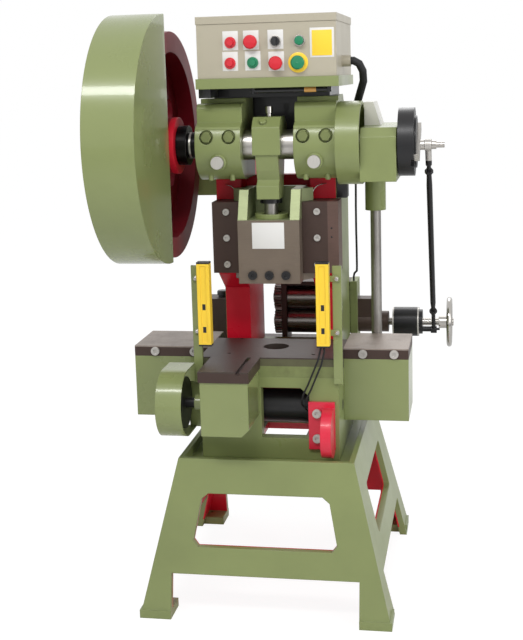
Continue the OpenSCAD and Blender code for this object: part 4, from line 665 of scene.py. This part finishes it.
class PRESS_OT_box_face(bpy.types.Operator):
    """Add the bare legend plates, the bare sign plate and the start ring to the control box"""

    bl_idname = "press.box_face"
    bl_label = "Control box face"

    def execute(self, context):
        sizes = context.scene.press_sizes
        bezel_h, bezel_r, bezel_gap, box_h = 0.006, 0.0165, 0.0003, 0.178
        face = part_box("button_bezels")[0].y + bezel_h
        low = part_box("box_lid")[1].z - box_h
        lamps = ((-0.092, 0.102), (-0.094, 0.043), (-0.027, 0.043))
        buttons = [middle(name) for name in ("stop_button_upper", "stop_button_lower", "selector_switch")]
        share_below = 0.4
        bm = bmesh.new()
        for x, z in [(place.x, place.z) for place in buttons] + [(x, low + z) for x, z in lamps]:
            foot = z - share_below * sizes.legend_h
            slab(bm, (x - sizes.legend_w / 2, face - sizes.plate_t, foot),
                 (x + sizes.legend_w / 2, face, foot + sizes.legend_h), PLATE_EDGE)
        add_piece("legend_plates", bm, "White plate", "press")
        sign_left, sign_right, sign_foot, sign_top = 0.141, 0.211, low + 0.053, low + 0.137
        bm = bmesh.new()
        slab(bm, (sign_left, face - sizes.plate_t, sign_foot), (sign_right, face, sign_top), PLATE_EDGE)
        add_piece("sign_plate", bm, "White plate", "press")
        side_rim, foot_rim, top_rim, field_edge = 0.006, 0.005, 0.007, 0.0002
        bm = bmesh.new()
        slab(bm, (sign_left + side_rim, face - 2 * sizes.plate_t, sign_foot + foot_rim),
             (sign_right - side_rim, face - sizes.plate_t, sign_top - top_rim), field_edge)
        add_piece("sign_field", bm, "Yellow plate", "press")
        start = middle("start_button_lower")
        seat = Vector((start.x, face, start.z))
        ring_h, ring_chamfer = 0.0042, (0.002, 0.0012)
        bm = bmesh.new()
        chamfered_ring(bm, bezel_r + bezel_gap, sizes.start_ring_r, ring_h, ring_chamfer, seat, FRONT)
        add_piece("start_ring", bm, "Yellow plate", "press")
        return {"FINISHED"}


class PRESS_OT_box_back(bpy.types.Operator):
    """Add the lid hinges at the back of the control box"""

    bl_idname = "press.box_back"
    bl_label = "Control box back"

    def execute(self, context):
        low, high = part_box("box_lid")
        hinge_r, hinge_len, hinge_set, inset = 0.006, 0.060, 0.0018, 0.090
        bm = bmesh.new()
        for x in (low.x + inset, high.x - inset - hinge_len):
            round_bar(bm, hinge_r, 0.0, hinge_len, Vector((x, high.y + hinge_set, low.z)), ACROSS, steps=20)
        add_piece("lid_hinges", bm, "Bright steel", "press")
        return {"FINISHED"}


class PRESS_OT_slide_plate(bpy.types.Operator):
    """Add the bare plate on the slide"""

    bl_idname = "press.slide_plate"
    bl_label = "Slide plate"

    def execute(self, context):
        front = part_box("die_clamp")[0].y
        block_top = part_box("ball_gland")[0].z
        left, right, foot_drop, top_drop = -0.050, 0.048, 0.086, 0.007
        bm = bmesh.new()
        slab(bm, (left, front - context.scene.press_sizes.plate_t, block_top - foot_drop),
             (right, front, block_top - top_drop), PLATE_EDGE)
        add_piece("slide_plate", bm, "White plate", "ram")
        return {"FINISHED"}


class PRESS_OT_bearing_trim(bpy.types.Operator):
    """Add the seats round the bearing plugs and the small bolts under the caps"""

    bl_idname = "press.bearing_trim"
    bl_label = "Bearing trim"

    def execute(self, context):
        seat_r = context.scene.press_sizes.plug_ring_r
        low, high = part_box("cap_plugs")
        height, plug_r = (low.z + high.z) / 2, (high.z - low.z) / 2
        offset = high.x - plug_r
        plug_gap, seat_in, seat_h, seat_chamfer = 0.0004, 0.034, 0.022, (0.003, 0.003)
        bm = bmesh.new()
        for x in (-offset, offset):
            seat = Vector((x, low.y + seat_in, height))
            chamfered_ring(bm, plug_r + plug_gap, seat_r, seat_h, seat_chamfer, seat, FRONT)
        add_piece("plug_seats", bm, "Green casting paint", "press")
        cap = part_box("bearing_cap_left")
        pitch, foot = 0.033, 0.052
        bolt_r, crown_r, sunk, shoulder, bolt_h = 0.008, 0.006, 0.020, 0.006, 0.008
        bm = bmesh.new()
        for x in (-offset - pitch, -offset + pitch, offset - pitch, offset + pitch):
            turned(bm, ((0.0, -sunk), (bolt_r, -sunk), (bolt_r, shoulder), (crown_r, bolt_h), (0.0, bolt_h)),
                   Vector((x, cap[1].y - foot, cap[0].z + bolt_h)), -UP, steps=24)
        add_piece("cap_foot_bolts", bm, "Green casting paint", "press")
        return {"FINISHED"}


class PRESS_OT_rod_plug(bpy.types.Operator):
    """Add the hexagon plug on the sloped shoulder of the connecting rod"""

    bl_idname = "press.rod_plug"
    bl_label = "Rod plug"

    def execute(self, context):
        low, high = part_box("connecting_rod")
        left, chamfer_half, plug_r, plug_h = -0.010, 0.015, 0.011, 0.008
        shoulder = Vector((left, low.y + chamfer_half, high.z - chamfer_half))
        bm = bmesh.new()
        hexagon(bm, plug_r, plug_h, shoulder, (FRONT + UP).normalized())
        add_piece("rod_plug", bm, "Green casting paint", "rod")
        return {"FINISHED"}


class PRESS_OT_gib_trim(bpy.types.Operator):
    """Add two black discs on the right gib, painted shade of its two small holes, and the thin oil pipes that reach the
    tops of the gibs
    """

    bl_idname = "press.gib_trim"
    bl_label = "Gib trim"

    def execute(self, context):
        low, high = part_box("gib_right")
        # Two black discs stand for the dark insides of two small holes: painted shade.
        hole_shade_r, sunk, proud, edge_set = 0.0028, 0.001, 0.0006, 0.021
        bm = bmesh.new()
        for drop in (0.081, 0.108):
            place = Vector((high.x - edge_set, low.y, high.z - drop))
            round_bar(bm, hole_shade_r, -sunk, proud, place, FRONT, steps=16)
        add_piece("gib_hole_shades", bm, "Black steel", "press")
        pipe_x, pipe_in = 0.118, 0.060
        route = ((0.0, 0.0, 0.0), (0.0, 0.0, 0.018), (0.006, 0.004, 0.032), (0.016, 0.010, 0.042),
                 (0.030, 0.018, 0.046), (0.040, 0.0345, 0.046))
        bm = bmesh.new()
        for node, side in (("gib_left", -1), ("gib_right", 1)):
            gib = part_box(node)
            path = [(side * (pipe_x + x), gib[0].y + pipe_in + y, gib[1].z + z) for x, y, z in route]
            pipe(bm, path, context.scene.press_sizes.pipe_r)
        add_piece("oil_pipes", bm, "Bright steel", "press")
        return {"FINISHED"}


class PRESS_OT_tray_lamp(bpy.types.Operator):
    """Add the lamp tube, and a black block under the control box tray that stands for the shaded space there (painted
    shade)
    """

    bl_idname = "press.tray_lamp"
    bl_label = "Tray lamp"

    def execute(self, context):
        radius = context.scene.press_sizes.lamp_r
        low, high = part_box("box_tray")
        tube_left, tube_in, tube_len, pan_h, pan_t, edge = -0.045, 0.060, 0.240, 0.030, 0.004, 0.001
        start = Vector((tube_left, low.y + tube_in, high.z - pan_h - radius))
        holder_w, holder_set, holder_half = 0.010, 0.002, radius + 0.001
        bm = bmesh.new()
        round_bar(bm, radius, 0.0, tube_len, start, ACROSS)
        for x in (start.x + holder_set, start.x + tube_len - holder_w - holder_set):
            slab(bm, (x, start.y - holder_half, start.z - holder_half),
                 (x + holder_w, start.y + holder_half, high.z - pan_t), edge)
        add_piece("tray_lamp", bm, "Lamp tube", "press")
        # A black block fills the dark space beside the riser: painted shade under the tray.
        shade_block_size, shade_block_in, shade_block_drop = Vector((0.036, 0.100, 0.050)), 0.020, 0.056
        shade_block_low = Vector((low.x + pan_t - SKIN, low.y + shade_block_in, high.z - shade_block_drop))
        bm = bmesh.new()
        slab(bm, shade_block_low, shade_block_low + shade_block_size, edge)
        add_piece("under_tray_shade_block", bm, "Black plastic", "press")
        return {"FINISHED"}


class PRESS_OT_curtain_screws(bpy.types.Operator):
    """Add the screws that hold the light-curtain bars to their posts"""

    bl_idname = "press.curtain_screws"
    bl_label = "Curtain screws"

    def execute(self, context):
        radius, head_h, post_half = context.scene.press_sizes.screw_r, 0.007, 0.0145
        low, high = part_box("curtain_posts")
        bar_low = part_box("light_curtain_right")[0].z
        bm = bmesh.new()
        for x in (low.x + post_half, high.x - post_half):
            for rise in (0.039, 0.201):
                hexagon(bm, radius, head_h, Vector((x, low.y, bar_low + rise)), FRONT)
        add_piece("curtain_screws", bm, "Bright steel", "press")
        return {"FINISHED"}


class PRESS_OT_motor_trim(bpy.types.Operator):
    """Add the bolts that hold the motor bracket to the left cheek"""

    bl_idname = "press.motor_trim"
    bl_label = "Motor trim"

    def execute(self, context):
        radius, head_h, end_set = context.scene.press_sizes.bolt_r, 0.012, 0.020
        low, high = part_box("motor_bracket")
        bm = bmesh.new()
        for z in (low.z + end_set, high.z - end_set):
            for side_set in (0.015, 0.050):
                hexagon(bm, radius, head_h, Vector((high.x - side_set, high.y, z)), BACK)
        add_piece("bracket_bolts", bm, "Black steel", "press")
        return {"FINISHED"}


class PRESS_OT_oil_supply(bpy.types.Operator):
    """Add the filler cap of the feeder's oil tank and the oil divider on the right cheek"""

    bl_idname = "press.oil_supply"
    bl_label = "Oil supply"

    def execute(self, context):
        low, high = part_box("feed_frame")
        tank_half, tank_top, tank_set = 0.057, 0.168, 0.002
        tank = Vector((low.x + tank_half, (low.y + high.y) / 2 - tank_set, low.z + tank_top))
        neck_r, cap_r, crown_r, sunk = 0.016, 0.020, 0.017, 0.002
        neck_h, shoulder, cap_h = 0.008, 0.020, 0.024
        bm = bmesh.new()
        turned(bm, ((0.0, -sunk), (neck_r, -sunk), (neck_r, neck_h), (cap_r, neck_h), (cap_r, shoulder),
                    (crown_r, cap_h), (0.0, cap_h)), tank, UP, steps=28)
        add_piece("tank_cap", bm, "Black plastic", "press")
        divider_low, divider_high, divider_edge = (0.1885, -0.020, 1.222), (0.222, 0.035, 1.284), 0.002
        bm = bmesh.new()
        slab(bm, divider_low, divider_high, divider_edge)
        add_piece("oil_divider", bm, "Black plastic", "press")
        return {"FINISHED"}


class PRESS_OT_stage(bpy.types.Operator):
    """Set up the floor, the soft light and the camera"""

    bl_idname = "press.stage"
    bl_label = "Stage"

    def execute(self, context):
        scene = context.scene
        scene.view_settings.view_transform = "Standard"
        self.floor(scene)
        self.world(scene)
        self.lamps(scene)
        self.camera(scene)
        return {"FINISHED"}

    def floor(self, scene):
        """Pale floor that the camera sees nearly white, with the shadow kept."""
        reach, glow_share, glow_strength = 40.0, 0.80, 1.12
        bm = bmesh.new()
        bmesh.ops.create_grid(bm, x_segments=1, y_segments=1, size=reach)
        mesh = bpy.data.meshes.new("floor")
        bm.to_mesh(mesh)
        bm.free()
        floor = bpy.data.objects.new("floor", mesh)
        scene.collection.objects.link(floor)
        material = bpy.data.materials.new("Pale floor")
        material.use_nodes = True
        tree = material.node_tree
        shader = tree.nodes["Principled BSDF"]
        shader.inputs["Base Color"].default_value = (0.86, 0.86, 0.85, 1.0)
        shader.inputs["Roughness"].default_value = 0.85
        shader.inputs["Specular IOR Level"].default_value = 0.1
        glow = add_node(tree, "ShaderNodeEmission", Color=(1.0, 1.0, 1.0, 1.0), Strength=glow_strength)
        light = add_node(tree, "ShaderNodeLightPath")
        blend = add_node(tree, "ShaderNodeMixShader")
        share = math_node(tree, "MULTIPLY", light.outputs["Is Camera Ray"], glow_share)
        tree.links.new(share, blend.inputs[0])
        tree.links.new(shader.outputs[0], blend.inputs[1])
        tree.links.new(glow.outputs[0], blend.inputs[2])
        tree.links.new(blend.outputs[0], tree.nodes["Material Output"].inputs["Surface"])
        mesh.materials.append(material)

    def world(self, scene):
        """Soft sky light, white where the camera, metal or glass looks at it."""
        world = bpy.data.worlds.new("Pale studio")
        world.use_nodes = True
        tree = world.node_tree
        sky = tree.nodes["Background"]
        sky.inputs["Color"].default_value = (0.97, 0.98, 1.0, 1.0)
        sky.inputs["Strength"].default_value = 0.60
        plain = add_node(tree, "ShaderNodeBackground", Color=(1.0, 1.0, 1.0, 1.0), Strength=1.0)
        light = add_node(tree, "ShaderNodeLightPath")
        blend = add_node(tree, "ShaderNodeMixShader")
        seen = math_node(tree, "MAXIMUM", light.outputs["Is Camera Ray"], light.outputs["Is Transmission Ray"])
        seen = math_node(tree, "MAXIMUM", seen, light.outputs["Is Glossy Ray"])
        tree.links.new(seen, blend.inputs[0])
        tree.links.new(sky.outputs[0], blend.inputs[1])
        tree.links.new(plain.outputs[0], blend.inputs[2])
        tree.links.new(blend.outputs[0], tree.nodes["World Output"].inputs["Surface"])
        scene.world = world

    def lamps(self, scene):
        """A long ceiling lamp in front, and soft lamps on the right and at the back."""
        aim = Vector((0.0, 0.0, 0.9))
        for name, place, width, depth, power in (("ceiling", (-0.6, -2.9, 4.1), 2.8, 0.5, 86.0),
                                                 ("right", (3.3, -2.2, 2.2), 2.4, 2.4, 60.0),
                                                 ("back", (0.3, 3.4, 3.4), 2.2, 2.2, 40.0)):
            lamp = bpy.data.lights.new(name, "AREA")
            lamp.shape = "RECTANGLE"
            lamp.size = width
            lamp.size_y = depth
            lamp.energy = power
            holder = bpy.data.objects.new(name, lamp)
            holder.location = place
            holder.rotation_euler = (aim - holder.location).to_track_quat("-Z", "Y").to_euler()
            scene.collection.objects.link(holder)

    def camera(self, scene):
        """Camera a little above the crank, in front and to the right."""
        eye = Vector((0.6139, -3.6518, 1.6076))
        yaw, pitch, roll = 0.1818, 0.1766, -0.0277
        ahead = Vector((-math.sin(yaw) * math.cos(pitch), math.cos(yaw) * math.cos(pitch), -math.sin(pitch)))
        level = Vector((math.cos(yaw), math.sin(yaw), 0.0))
        above = level.cross(ahead)
        right = level * math.cos(roll) + above * math.sin(roll)
        top = above * math.cos(roll) - level * math.sin(roll)
        lens = bpy.data.cameras.new("camera")
        lens.sensor_width = 36.0
        lens.lens = 66.7
        lens.shift_y = -0.055
        holder = bpy.data.objects.new("camera", lens)
        holder.matrix_world = Matrix.Translation(eye) @ Matrix((right, top, -ahead)).transposed().to_4x4()
        scene.collection.objects.link(holder)
        scene.camera = holder


class PRESS_PT_sidebar(bpy.types.Panel):
    """Pieces and finishes of the press"""

    bl_idname = "PRESS_PT_sidebar"
    bl_label = "Button making press"
    bl_space_type = "VIEW_3D"
    bl_region_type = "UI"
    bl_category = "Press"

    def draw(self, context):
        for operator in OPERATORS:
            self.layout.operator(operator.bl_idname)
        for group in (context.scene.press_colours, context.scene.press_sizes):
            for name in group.__annotations__:
                self.layout.prop(group, name)


OPERATORS = (
    PRESS_OT_finishes, PRESS_OT_box_face, PRESS_OT_box_back, PRESS_OT_slide_plate, PRESS_OT_bearing_trim,
    PRESS_OT_rod_plug, PRESS_OT_gib_trim, PRESS_OT_tray_lamp, PRESS_OT_curtain_screws, PRESS_OT_motor_trim,
    PRESS_OT_oil_supply, PRESS_OT_stage,
)
CLASSES = (PressColours, PressSizes, *OPERATORS, PRESS_PT_sidebar)


def register():
    for item in CLASSES:
        bpy.utils.register_class(item)
    bpy.types.Scene.press_colours = bpy.props.PointerProperty(type=PressColours)
    bpy.types.Scene.press_sizes = bpy.props.PointerProperty(type=PressSizes)


def unregister():
    del bpy.types.Scene.press_sizes
    del bpy.types.Scene.press_colours
    for item in reversed(CLASSES):
        bpy.utils.unregister_class(item)


def main():
    register()
    for operator in OPERATORS:
        family, name = operator.bl_idname.split(".")
        getattr(getattr(bpy.ops, family), name)()


if __name__ == "__main__":
    main()
